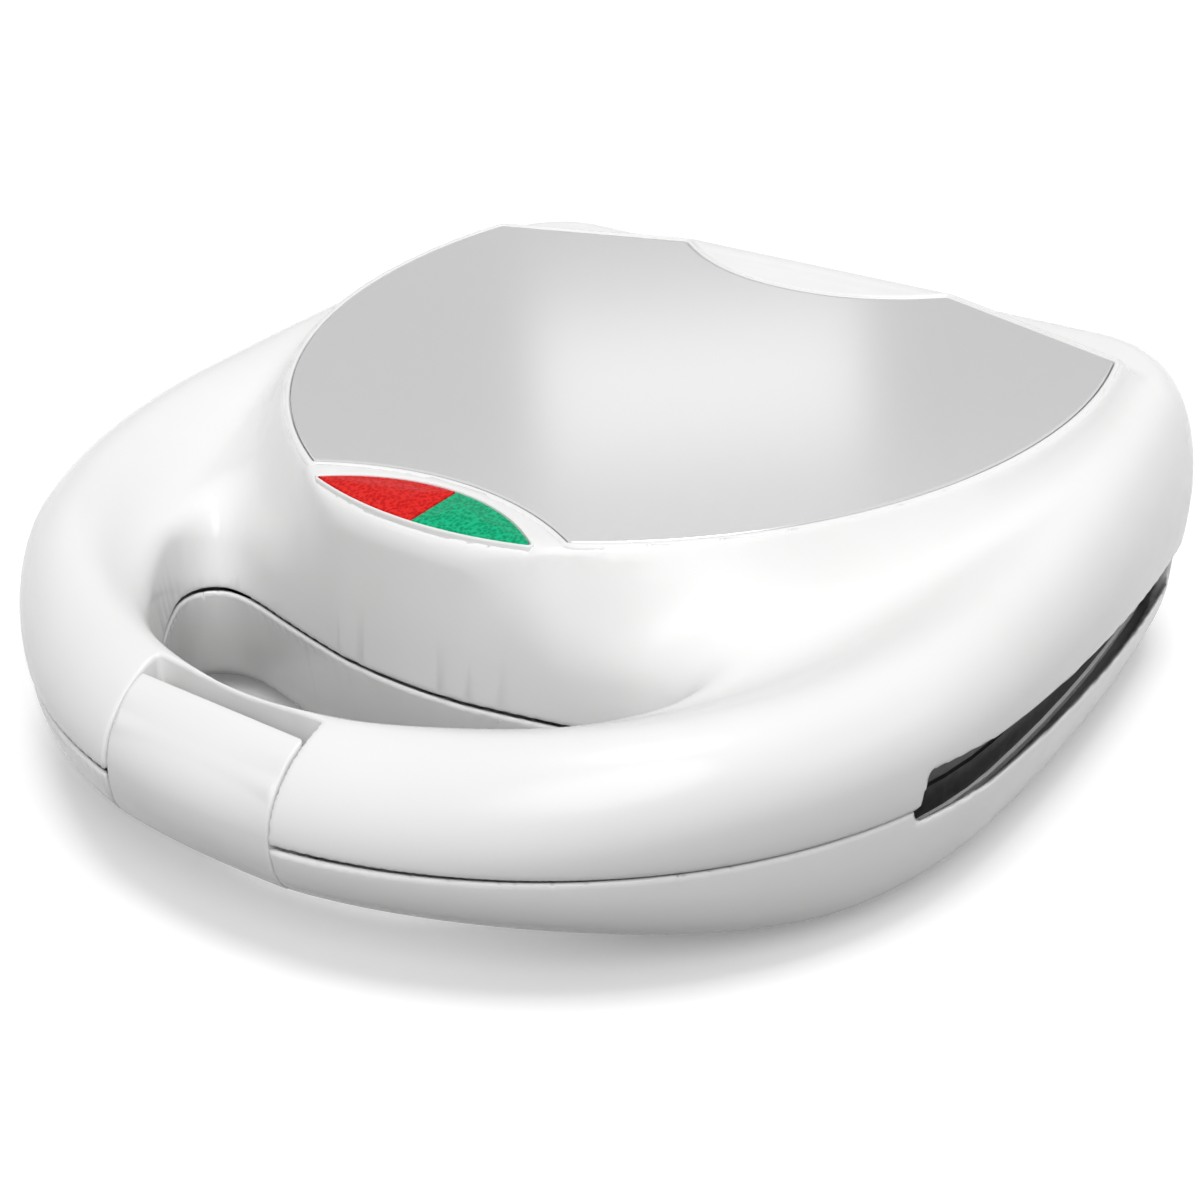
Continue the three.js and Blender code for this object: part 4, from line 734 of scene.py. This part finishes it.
def shell_object(name, grid, field, keep):
    """A mesh of a field's surface, thinned where it is plain, with normals taken from the field."""
    points, faces = net_of(field)
    made = mesh_object(name, points, faces)
    thin = made.modifiers.new("thin", "DECIMATE")
    thin.ratio = keep
    thinned = bpy.data.meshes.new_from_object(made.evaluated_get(bpy.context.evaluated_depsgraph_get()))
    made.modifiers.clear()
    made.data = thinned
    thinned.name = name
    places = np.array([v.co for v in thinned.vertices], float)
    slopes = np.gradient(field)
    normal = np.stack([sampled(s, places) for s in slopes], 1)
    normal /= np.linalg.norm(normal, axis=1)[:, None]
    world = in_frame(places * grid.cell + grid.low)
    thinned.vertices.foreach_set("co", world.ravel())
    thinned.polygons.foreach_set("use_smooth", [True] * len(thinned.polygons))
    thinned.update()
    thinned.normals_split_custom_set_from_vertices([tuple(n) for n in normal])
    return made


# Pieces laid on the tilted plane of the panel

PANEL_TILT = math.atan2(PANEL_RISE, PANEL_BACK_Y - PANEL_FRONT_Y)
PANEL_EDGE = [(0, -0.22), (-0.06, -0.08), (-0.2, 0), (-0.7, 0)]
PANEL_LIP = [(0.3, -1.3), (0.3, -0.15), (0.42, 0.02), (0.62, 0.08), (0.9, 0.06), (1.3, -0.12), (1.8, -0.5),
             (1.8, -1.3)]
LENS_LIP = [(0.25, -3.2), (0.25, -0.12), (0.35, 0.04), (0.5, 0.06), (0.7, -0.06), (0.82, -0.4), (0.85, -3.2)]
LENS_EDGE = [(0, -0.35), (-0.1, -0.12), (-0.3, 0)]


def on_panel_plane(points):
    """Points drawn flat, with their height above the panel's face, laid on its tilted plane."""
    x, y, h = np.asarray(points, float).T
    along = y - PANEL_FRONT_Y
    c, s = math.cos(PANEL_TILT), math.sin(PANEL_TILT)
    return np.stack([x, PANEL_FRONT_Y + along * c - h * s, PANEL_FRONT_HEIGHT + along * s + h * c], 1)


def ringed(outline, profile, closed):
    """Rings of an outline, each moved outwards by its profile point's offset and set at its height."""
    normal = normals_of(outline)
    count = len(outline)
    points = np.concatenate([np.column_stack([outline + normal * out, np.full(count, height)])
                             for out, height in profile])
    faces = []
    for ring in range(len(profile) if closed else len(profile) - 1):
        low, high = ring * count, (ring + 1) % len(profile) * count
        for i in range(count):
            j = (i + 1) % count
            faces.append((low + i, low + j, high + j, high + i))
    if not closed:
        faces.append(tuple(range(count))[::-1])
        faces.append(tuple(range((len(profile) - 1) * count, len(profile) * count)))
    return points, faces


def smooth(made, angle=SMOOTH_ANGLE):
    """Smooth shading, with edges steeper than an angle left sharp."""
    made.data.polygons.foreach_set("use_smooth", [True] * len(made.data.polygons))
    made.data.set_sharp_from_angle(angle=math.radians(angle))
    return made


def top_panel():
    """The metal sheet, with its upper edge rounded over."""
    profile = [(0, -PANEL_THICKNESS), *PANEL_EDGE]
    points, faces = ringed(resampled(panel_outline(), PANEL_STEP), profile, False)
    return smooth(mesh_object("metal_top_panel", in_frame(on_panel_plane(points)), faces), PANEL_SMOOTH_ANGLE)


def lip(name, outline, profile):
    """A raised lip of the lid round an outline on the panel's plane."""
    points, faces = ringed(outline, profile[::-1], True)
    return smooth(mesh_object(name, in_frame(on_panel_plane(points)), faces), LIP_SMOOTH_ANGLE)


def lens_half(name, side):
    """One colour of the lens on its side of the split: a bevelled edge round a face of small pyramids."""
    outline = resampled(lens_outline(), LENS_STEP)
    edge = LENS_SPLIT_OFFSET + side * LENS_SPLIT / 2
    kept = outline[(outline[:, 0] - edge) * side > LENS_SPLIT_MARGIN]
    split = int(np.argmax(np.hypot(*np.diff(np.concatenate([kept, kept[:1]]), axis=0).T)))
    kept = np.roll(kept, -split - 1, 0)
    ends = np.array([[edge, kept[-1][1]], [edge, kept[0][1]]])
    across = np.linspace(ends[0], ends[1], LENS_SPLIT_POINTS)
    closed = np.concatenate([kept, across])
    points, faces = ringed(closed, [(0, -LENS_THICKNESS), *LENS_EDGE], False)
    faces.pop()
    count = len(closed)
    inner = points[-count:, :2]
    half = LENS_PEAK_PITCH / 2
    gx, gy = np.meshgrid(np.arange(-LENS_HALF, LENS_HALF, half), np.arange(*LENS_PEAK_SPAN, half))
    depth = nearest(inner, gx, gy)[0]
    chosen = depth > LENS_PEAK_MARGIN
    peak = (np.round(gx / LENS_PEAK_PITCH * 2) + np.round(gy / LENS_PEAK_PITCH * 2)) % 2
    lift = LENS_CROWN * ease(depth / LENS_CROWN_WIDTH) - LENS_PEAK_DEPTH * peak
    places = np.concatenate([inner, np.column_stack([gx[chosen], gy[chosen]])])
    heights = np.concatenate([np.zeros(count), lift[chosen]])
    edges = [(i, (i + 1) % count) for i in range(count)]
    found = delaunay_2d_cdt([Vector(p) for p in places], edges, [], 1, WELD_GAP)
    face = np.array([(v.x, v.y, heights[o[0]] if o else 0) for v, o in zip(found[0], found[3])])
    low = len(points)
    points = np.concatenate([points, face])
    faces += [tuple(low + i for i in f) for f in found[2]]
    made = mesh_object(name, in_frame(on_panel_plane(points)), faces)
    welded = bmesh.new()
    welded.from_mesh(made.data)
    bmesh.ops.remove_doubles(welded, verts=welded.verts, dist=WELD_GAP)
    bmesh.ops.recalc_face_normals(welded, faces=welded.faces)
    welded.to_mesh(made.data)
    welded.free()
    return smooth(made, LENS_SMOOTH_ANGLE)


# Latch

def shrunk(section, by):
    """A section of the latch with its points moved towards the pivot."""
    away = section - (LATCH_PIVOT_Y, LATCH_PIVOT_Z)
    return section - away / np.linalg.norm(away, axis=1)[:, None] * by


def latch_profile():
    """The section of the latch's outer face, from the rear edge over the front to the toe."""
    t = np.linspace(0, math.pi / 2, LATCH_OUTLINE_POINTS)
    y = LATCH_REAR_EDGE_Y * (1 - np.sin(t * LATCH_REAR_TURN_SHARE))
    crest, widest, shoulder = rim_curves(y)[1:]
    q = np.maximum(0, 1 - y / shoulder)
    z = widest + (crest - widest) * np.sqrt(1 - q ** 2)
    above = np.stack([y, z], 1)
    depth = LATCH_TOE_DEPTH * np.sin(t)
    q = 1 - (depth / BASE_DEPTH_FRONT) ** BASE_ROUND_POWER
    below = np.stack([BASE_ROUND * (1 - q ** (1 / BASE_ROUND_POWER)), -depth], 1)
    outer = np.concatenate([above, below])
    return shrunk(outer, LATCH_SINK)


def bent_section(grid, section):
    """Depth inside a section in y and z, swept across x: bent like the rim in front, straight behind."""
    x, y = grid.x, grid.y
    shift = x ** 2 / (2 * SEAM_HALF_WIDTH)
    local = np.where(y < LATCH_BACK_Y, (y - shift) / (1 - shift / LATCH_BACK_Y), y)
    local = np.where(local < 0, y - shift, local)
    half = grid.cell / 2
    fine = np.arange(grid.axes[1][0] - SECTION_MARGIN[0], grid.axes[1][-1] + SECTION_MARGIN[1], half)
    fine_y, fine_z = np.meshgrid(fine, grid.axes[2], indexing="ij")
    depth = nearest(section, fine_y, fine_z)[0]
    place = (local - fine[0]) / half
    low = np.clip(place.astype(int), 0, len(fine) - 2)
    part = (place - low)[:, :, None]
    return depth[low] * (1 - part) + depth[low + 1] * part


def latch_field(grid):
    """The latch as a hollow block: its outer face follows the rim, and its barrel holds the pin."""
    outer = latch_profile()
    barrel = LATCH_PIN_RADIUS + LATCH_SIDE
    barrel_back = LATCH_PIVOT_Y + barrel
    back = [(LATCH_BACK_Y, outer[-1][1]), (LATCH_BACK_Y, LATCH_PIVOT_Z - barrel),
            (barrel_back, LATCH_PIVOT_Z - barrel / 2), (barrel_back, LATCH_PIVOT_Z + barrel),
            (outer[0][0], outer[0][1] - LATCH_SKIN)]
    inner = shrunk(outer, LATCH_SKIN)[2:-2]
    open_y = LATCH_BACK_Y + LATCH_HOLLOW_REACH
    behind = [(open_y, inner[-1][1]), (open_y, inner[0][1])]
    whole = bent_section(grid, resampled(np.concatenate([outer, back]), SECTION_STEP))
    hollow = bent_section(grid, resampled(np.concatenate([inner, behind]), SECTION_STEP))
    x = np.abs(grid.flat(grid.x))
    body = soft_max(-whole, x - LATCH_HALF, BOX_ROUNDING)
    room = soft_max(-hollow, x - LATCH_HALF + LATCH_SIDE, EDGE_ROUNDING)
    round_ = np.sqrt((grid.flat(grid.y) - LATCH_PIVOT_Y) ** 2 + (grid.z - LATCH_PIVOT_Z) ** 2)
    rod = np.maximum(round_ - barrel, x - LATCH_HALF + LATCH_SIDE / 2)
    body = soft_min(soft_max(body, -room, BOX_ROUNDING), rod, EDGE_ROUNDING)
    return soft_max(body, LATCH_PIN_RADIUS + CLEARANCE - round_, FINE_ROUNDING)


# Feet

def foot(name, x, y):
    """A rubber foot with a ring to stand on, a hollow middle and a rounded edge, turned from its profile."""
    top = FOOT_HEIGHT - CLEARANCE
    upper = zip(FOOT_NECK_SHARES, (top - FOOT_TOP_ROUND, top, top))
    profile = [(share * FOOT_RADIUS, height) for share, height in (*FOOT_RINGS, *upper)]
    angles = np.linspace(0, 2 * math.pi, FOOT_SIDES, endpoint=False)
    points = []
    for r, h in profile:
        points.append(np.stack([r * np.cos(angles), r * np.sin(angles), np.full(FOOT_SIDES, h)], 1))
    points = np.concatenate(points)
    faces = []
    for ring in range(len(profile) - 1):
        low, high = ring * FOOT_SIDES, (ring + 1) * FOOT_SIDES
        for i in range(FOOT_SIDES):
            j = (i + 1) % FOOT_SIDES
            faces.append((low + i, low + j, high + j, high + i))
    faces.append(tuple(range(FOOT_SIDES))[::-1])
    faces.append(tuple(range((len(profile) - 1) * FOOT_SIDES, len(profile) * FOOT_SIDES)))
    return smooth(mesh_object(name, in_frame(points + (x, y, -SEAM_HEIGHT)), faces))


# Materials: colours are linear, a texture has its grains to the metre and its detail, and bumps are in metres

NOISE_LOW = 0.3
NOISE_HIGH = 0.7
WHITE = ((0.80, 0.80, 0.795), (0.83, 0.83, 0.828))
WHITE_ROUGHNESS = (0.2, 0.27)
WHITE_CLOUDS = (22, 3)
WHITE_SMUDGES = (60, 4)
WHITE_PEEL = (700, 2)
WHITE_PEEL_BUMP = (0.00002, 0.35)
PANEL_COLOURS = ((0.695, 0.695, 0.7), (0.705, 0.705, 0.71))
PANEL_ROUGHNESS = (0.165, 0.175)
PANEL_GRAIN = (2200, 2, (1, 0.04, 1))
# Each lens colour runs from the painted shade in the prisms' pits to the colour on their ridges
RED = ((0.52, 0.006, 0.006), (0.74, 0.022, 0.018))
GREEN = ((0.0, 0.27, 0.12), (0.008, 0.46, 0.22))
LENS_ROUGHNESS = (0.2, 0.3)
LENS_SMUDGES = (120, 2)
LENS_CELLS = 1300
LENS_BUMP = (0.00005, 0.2)
SPECKLE_BUMP = 0.00003
STEEL_BUMP = 0.00001
SPECKLE_BUMP_STRENGTH = 0.5
SPECKLE_SMUDGE_SHARE = 0.2
SPECKLE_GRAIN_SHARE = 1.4

# Each plain finish: its two colours, its grains, its range of roughness, its metal share and its bump
FINISHES = {
    "plate_coating": ((0.028, 0.028, 0.03), (0.05, 0.05, 0.052), 500, (0.35, 0.5), 0.2, SPECKLE_BUMP),
    "bare_steel": ((0.52, 0.52, 0.53), (0.62, 0.62, 0.62), 300, (0.25, 0.4), 1, STEEL_BUMP),
    "heater_sheath": ((0.16, 0.15, 0.14), (0.28, 0.26, 0.23), 200, (0.4, 0.6), 0.9, SPECKLE_BUMP),
    "foot_rubber": ((0.60, 0.60, 0.59), (0.68, 0.68, 0.67), 400, (0.7, 0.85), 0, SPECKLE_BUMP),
    "ceramic": ((0.72, 0.68, 0.56), (0.80, 0.76, 0.64), 250, (0.5, 0.7), 0, SPECKLE_BUMP),
    "lamp_glass": ((0.80, 0.72, 0.62), (0.88, 0.80, 0.72), 150, (0.08, 0.15), 0, SPECKLE_BUMP),
}


def new_material(name):
    """A material, its nodes and links, and its shader."""
    material = bpy.data.materials.new(name)
    material.use_nodes = True
    tree = material.node_tree
    return material, tree.nodes, tree.links, tree.nodes["Principled BSDF"]


def noise(nodes, links, scale, detail, stretch=(1, 1, 1)):
    """Noise that stays with the object."""
    place = nodes.new("ShaderNodeTexCoord")
    mapping = nodes.new("ShaderNodeMapping")
    mapping.inputs["Scale"].default_value = stretch
    texture = nodes.new("ShaderNodeTexNoise")
    texture.inputs["Scale"].default_value = scale
    texture.inputs["Detail"].default_value = detail
    links.new(place.outputs["Object"], mapping.inputs["Vector"])
    links.new(mapping.outputs["Vector"], texture.inputs["Vector"])
    return texture.outputs["Fac"]


def ranged(nodes, links, value, low, high, start=NOISE_LOW, end=NOISE_HIGH):
    """A value spread from low to high."""
    span = nodes.new("ShaderNodeMapRange")
    for name, number in (("From Min", start), ("From Max", end), ("To Min", low), ("To Max", high)):
        span.inputs[name].default_value = number
    links.new(value, span.inputs["Value"])
    return span.outputs["Result"]


def coloured(nodes, links, value, low, high):
    """A value turned into a colour between two."""
    ramp = nodes.new("ShaderNodeValToRGB")
    for stop, place, colour in zip(ramp.color_ramp.elements, (NOISE_LOW, NOISE_HIGH), (low, high)):
        stop.position = place
        stop.color = (*colour, 1)
    links.new(value, ramp.inputs["Fac"])
    return ramp.outputs["Color"]


def bumped(nodes, links, shader, value, distance, strength):
    bump = nodes.new("ShaderNodeBump")
    bump.inputs["Distance"].default_value = distance
    bump.inputs["Strength"].default_value = strength
    links.new(value, bump.inputs["Height"])
    links.new(bump.outputs["Normal"], shader.inputs["Normal"])


def white_plastic():
    """Glossy moulded plastic: even white with a faint orange peel and soft smudges in its gloss."""
    material, nodes, links, shader = new_material("white_plastic")
    clouds, smudges = (noise(nodes, links, *texture) for texture in (WHITE_CLOUDS, WHITE_SMUDGES))
    links.new(coloured(nodes, links, clouds, *WHITE), shader.inputs["Base Color"])
    links.new(ranged(nodes, links, smudges, *WHITE_ROUGHNESS), shader.inputs["Roughness"])
    bumped(nodes, links, shader, noise(nodes, links, *WHITE_PEEL), *WHITE_PEEL_BUMP)
    shader.inputs["Specular IOR Level"].default_value = 0.36
    shader.inputs["Coat Weight"].default_value = 0.08
    shader.inputs["Coat Roughness"].default_value = 0.12
    return material


def panel_metal():
    """Bright rolled sheet: a very fine grain along the object, almost a mirror."""
    material, nodes, links, shader = new_material("panel_metal")
    grain = noise(nodes, links, *PANEL_GRAIN)
    links.new(coloured(nodes, links, grain, *PANEL_COLOURS), shader.inputs["Base Color"])
    links.new(ranged(nodes, links, grain, *PANEL_ROUGHNESS), shader.inputs["Roughness"])
    shader.inputs["Metallic"].default_value = 1
    return material


def lens_plastic(name, colours):
    """Tinted plastic over a lamp, with painted shade: its colour is darker in the pits of its prism bump and
    lighter on the ridges.
    """
    material, nodes, links, shader = new_material(name)
    cells = nodes.new("ShaderNodeTexVoronoi")
    cells.inputs["Scale"].default_value = LENS_CELLS
    place = nodes.new("ShaderNodeTexCoord")
    links.new(place.outputs["Object"], cells.inputs["Vector"])
    # Painted shade: the bump's own cells make the colour darker in its pits and lighter on its ridges
    links.new(coloured(nodes, links, cells.outputs["Distance"], *colours), shader.inputs["Base Color"])
    smudges = noise(nodes, links, *LENS_SMUDGES)
    links.new(ranged(nodes, links, smudges, *LENS_ROUGHNESS), shader.inputs["Roughness"])
    bumped(nodes, links, shader, cells.outputs["Distance"], *LENS_BUMP)
    shader.inputs["Specular IOR Level"].default_value = 0.04
    return material


def speckled(name, low, high, grains, rough, metal, bump):
    """A plain finish with fine colour speckle, uneven gloss and a fine grain."""
    material, nodes, links, shader = new_material(name)
    speckle = noise(nodes, links, grains, 4)
    smudges = noise(nodes, links, grains * SPECKLE_SMUDGE_SHARE, 3)
    grain = noise(nodes, links, grains * SPECKLE_GRAIN_SHARE, 3)
    links.new(coloured(nodes, links, speckle, low, high), shader.inputs["Base Color"])
    links.new(ranged(nodes, links, smudges, *rough), shader.inputs["Roughness"])
    bumped(nodes, links, shader, grain, bump, SPECKLE_BUMP_STRENGTH)
    shader.inputs["Metallic"].default_value = metal
    return material


# Stage, light and camera, in metres

FLOOR_SIZE = 3
BACKDROP_RISE = 2
BACKDROP_BEND = 0.5
BACKDROP_BEND_POINTS = 12
FLOOR_CLOUDS = (6, 2)
FLOOR_COLOURS = ((0.93, 0.93, 0.93), (0.95, 0.95, 0.95))
FLOOR_GLOW = 0.13
FLOOR_BOUNCE = 0.08
WORLD_BRIGHT_SIDE = (0.42, -0.38, 0.82)
WORLD_LIGHT_RANGE = (0.04, 0.6)

# Suns: the side that they shine from, their spread in degrees and their strength
SUNS = {
    "key": ((0.1, -0.1, 0.98), 18, 0.99),
    "front_fill": ((0.5, -0.7, 0.8), 40, 1.22),
}
# Area lights: their place, what they are aimed at, their size and their power
AREA_LIGHTS = {
    "right_side": ((1, 0.1, 0.35), (0, 0, 0.03), (0.6, 0.4), 0.6),
    "panel_sheen": ((-0.608, 0.879, 0.638), (0.015, 0.025, 0.069), (0.26, 0.12), 0.058),
}


def floor_and_backdrop():
    """A floor that curves up into a backdrop on the far side from the camera."""
    bend = FLOOR_SIZE - BACKDROP_BEND
    curve = [(bend + BACKDROP_BEND * math.sin(t), BACKDROP_BEND * (1 - math.cos(t)))
             for t in np.linspace(0, math.pi / 2, BACKDROP_BEND_POINTS)]
    profile = [(-FLOOR_SIZE, 0), *curve, (FLOOR_SIZE, BACKDROP_RISE)]
    a = math.radians(AZIMUTH)
    away = np.array([-math.sin(a), math.cos(a)])
    across = np.array([math.cos(a), math.sin(a)])
    sides = (-FLOOR_SIZE, FLOOR_SIZE)
    points = [(*(away * along + across * side), up) for along, up in profile for side in sides]
    faces = [(2 * i, 2 * i + 1, 2 * i + 3, 2 * i + 2) for i in range(len(profile) - 1)]
    floor = mesh_object("floor", points, faces)
    floor.data.polygons.foreach_set("use_smooth", [True] * len(floor.data.polygons))
    return floor


def seen_rays(nodes, links):
    """One for what the eye sees, directly or in metal and glass, and zero for light that spreads."""
    path = nodes.new("ShaderNodeLightPath")
    seen = path.outputs["Is Camera Ray"]
    for name in ("Is Glossy Ray", "Is Transmission Ray"):
        both = nodes.new("ShaderNodeMath")
        both.operation = "MAXIMUM"
        links.new(seen, both.inputs[0])
        links.new(path.outputs[name], both.inputs[1])
        seen = both.outputs["Value"]
    return seen


def floor_paint():
    """A white sweep that keeps the object's shadow and throws little light back under the object."""
    material, nodes, links, shader = new_material("pale_floor")
    cloud = coloured(nodes, links, noise(nodes, links, *FLOOR_CLOUDS), *FLOOR_COLOURS)
    seen = seen_rays(nodes, links)
    choice = nodes.new("ShaderNodeMix")
    choice.data_type = "RGBA"
    colour_in = [i for i in choice.inputs if i.type == "RGBA"]
    colour_in[0].default_value = (FLOOR_BOUNCE, FLOOR_BOUNCE, FLOOR_BOUNCE, 1)
    links.new(seen, choice.inputs["Factor"])
    links.new(cloud, colour_in[1])
    links.new([o for o in choice.outputs if o.type == "RGBA"][0], shader.inputs["Base Color"])
    shader.inputs["Roughness"].default_value = 0.9
    shader.inputs["Specular IOR Level"].default_value = 0.1
    shader.inputs["Emission Color"].default_value = (1, 1, 1, 1)
    glow = nodes.new("ShaderNodeMath")
    glow.operation = "MULTIPLY"
    glow.inputs[1].default_value = FLOOR_GLOW
    links.new(seen, glow.inputs[0])
    links.new(glow.outputs["Value"], shader.inputs["Emission Strength"])
    return material


def area_light(name, place, aim, size, power):
    """A soft box at a place, aimed at a point on the object."""
    light = bpy.data.lights.new(name, "AREA")
    light.shape = "RECTANGLE"
    light.size, light.size_y = size
    light.energy = power
    made = bpy.data.objects.new(name, light)
    made.location = place
    made.rotation_euler = (Vector(aim) - Vector(place)).to_track_quat("-Z", "Y").to_euler()
    bpy.context.scene.collection.objects.link(made)


def wide_sun(name, towards, spread, strength):
    """Even light over object and floor from one side, with soft shadows."""
    light = bpy.data.lights.new(name, "SUN")
    light.angle = math.radians(spread)
    light.energy = strength
    made = bpy.data.objects.new(name, light)
    made.rotation_euler = Vector(towards).to_track_quat("Z", "Y").to_euler()
    bpy.context.scene.collection.objects.link(made)


def world_light():
    """White to the eye and in reflections, and a softer light on the object that is strongest from above."""
    world = bpy.data.worlds.new("studio")
    world.use_nodes = True
    nodes, links = world.node_tree.nodes, world.node_tree.links
    nodes.clear()
    out = nodes.new("ShaderNodeOutputWorld")
    both = nodes.new("ShaderNodeMixShader")
    seen_white = nodes.new("ShaderNodeBackground")
    soft_light = nodes.new("ShaderNodeBackground")
    for slot, light in ((1, soft_light), (2, seen_white)):
        light.inputs["Color"].default_value = (1, 1, 1, 1)
        links.new(light.outputs["Background"], both.inputs[slot])
    direction = nodes.new("ShaderNodeTexCoord")
    nearness = nodes.new("ShaderNodeVectorMath")
    nearness.operation = "DOT_PRODUCT"
    nearness.inputs[1].default_value = WORLD_BRIGHT_SIDE
    links.new(direction.outputs["Generated"], nearness.inputs[0])
    strength = ranged(nodes, links, nearness.outputs["Value"], *WORLD_LIGHT_RANGE, -1, 1)
    links.new(strength, soft_light.inputs["Strength"])
    links.new(seen_rays(nodes, links), both.inputs["Fac"])
    links.new(both.outputs["Shader"], out.inputs["Surface"])
    bpy.context.scene.world = world


def camera():
    """The photograph's camera, with its optical centre off the middle of the frame."""
    data = bpy.data.cameras.new("photo_camera")
    data.sensor_width = SENSOR
    data.lens = FOCAL_PX * SENSOR / FRAME_PX
    data.shift_x = (FRAME_PX / 2 - CENTRE_PX[0]) / FRAME_PX
    data.shift_y = (CENTRE_PX[1] - FRAME_PX / 2) / FRAME_PX
    data.clip_start = CLIP_START
    a, e, r = (math.radians(v) for v in (AZIMUTH, ELEVATION, ROLL))
    back = Vector((math.sin(a) * math.cos(e), -math.cos(a) * math.cos(e), math.sin(e)))
    right = Vector((math.cos(a), math.sin(a), 0))
    up = back.cross(right)
    turned = Matrix((right, up, back)).transposed().to_4x4() @ Matrix.Rotation(r, 4, "Z")
    made = bpy.data.objects.new("photo_camera", data)
    made.matrix_world = Matrix.Translation(Vector(in_frame(CAMERA_PLACE))) @ turned
    bpy.context.scene.collection.objects.link(made)
    bpy.context.scene.camera = made


# The scene

MATERIALS = {
    "white_plastic": white_plastic(),
    "panel_metal": panel_metal(),
    "red_lens_plastic": lens_plastic("red_lens_plastic", RED),
    "green_lens_plastic": lens_plastic("green_lens_plastic", GREEN),
    **{name: speckled(name, *finish) for name, finish in FINISHES.items()},
}
SLOTS = {s["node"]: s["material_slot"] for s in frame["record"]["subparts"]}

# Shells grown from fields: body, CAD node, field, lowest and highest corner, cell and share of faces kept
SHELLS = {
    "lid_shell_fine": ("lid", "lid_shell", lid_shell_field, (-116.5, -3, -1.5), (116.5, 241, 50), CELL,
                       SHELL_KEPT_SHARE),
    "base_shell_fine": ("base", "base_shell", base_shell_field, (-116.5, -3, -26), (116.5, 241, 8), CELL,
                        SHELL_KEPT_SHARE),
    "latch_fine": ("latch", "latch_clip", latch_field, (-23, -1.5, -15), (23, 15, 20), LATCH_CELL,
                   LATCH_KEPT_SHARE),
}


def put(piece, body, node, slot):
    """Gives a piece its material and its body, and lets it stand for its CAD node."""
    piece.data.materials.clear()
    piece.data.materials.append(MATERIALS[slot])
    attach(piece, body)
    if node:
        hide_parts(node)


camera()
world_light()
floor_and_backdrop().data.materials.append(floor_paint())
for name, settings in SUNS.items():
    wide_sun(name, *settings)
for name, settings in AREA_LIGHTS.items():
    area_light(name, *settings)
bpy.context.scene.view_settings.view_transform = "Standard"

for name, (body, node, field_of, low, high, cell, kept) in SHELLS.items():
    grid = Grid(low, high, cell)
    put(shell_object(name, grid, field_of(grid), kept), body, node, "white_plastic")

put(top_panel(), "lid", "top_panel", "panel_metal")
put(lip("panel_lip", resampled(panel_outline(), PANEL_STEP), PANEL_LIP), "lid", None, "white_plastic")
put(lip("lens_lip", resampled(lens_outline(), LENS_STEP), LENS_LIP), "lid", None, "white_plastic")
put(lens_half("red_lens_fine", -1), "lid", "red_lens", "red_lens_plastic")
put(lens_half("green_lens_fine", 1), "lid", "green_lens", "green_lens_plastic")

for corner, (x, y) in zip(("front_left", "front_right", "back_left", "back_right"), FOOT_PLACES):
    put(foot(f"foot_{corner}_fine", x, y), "base", f"foot_{corner}", "foot_rubber")

for name, node in NODES.items():
    node.data.materials.clear()
    node.data.materials.append(MATERIALS[SLOTS[name]])
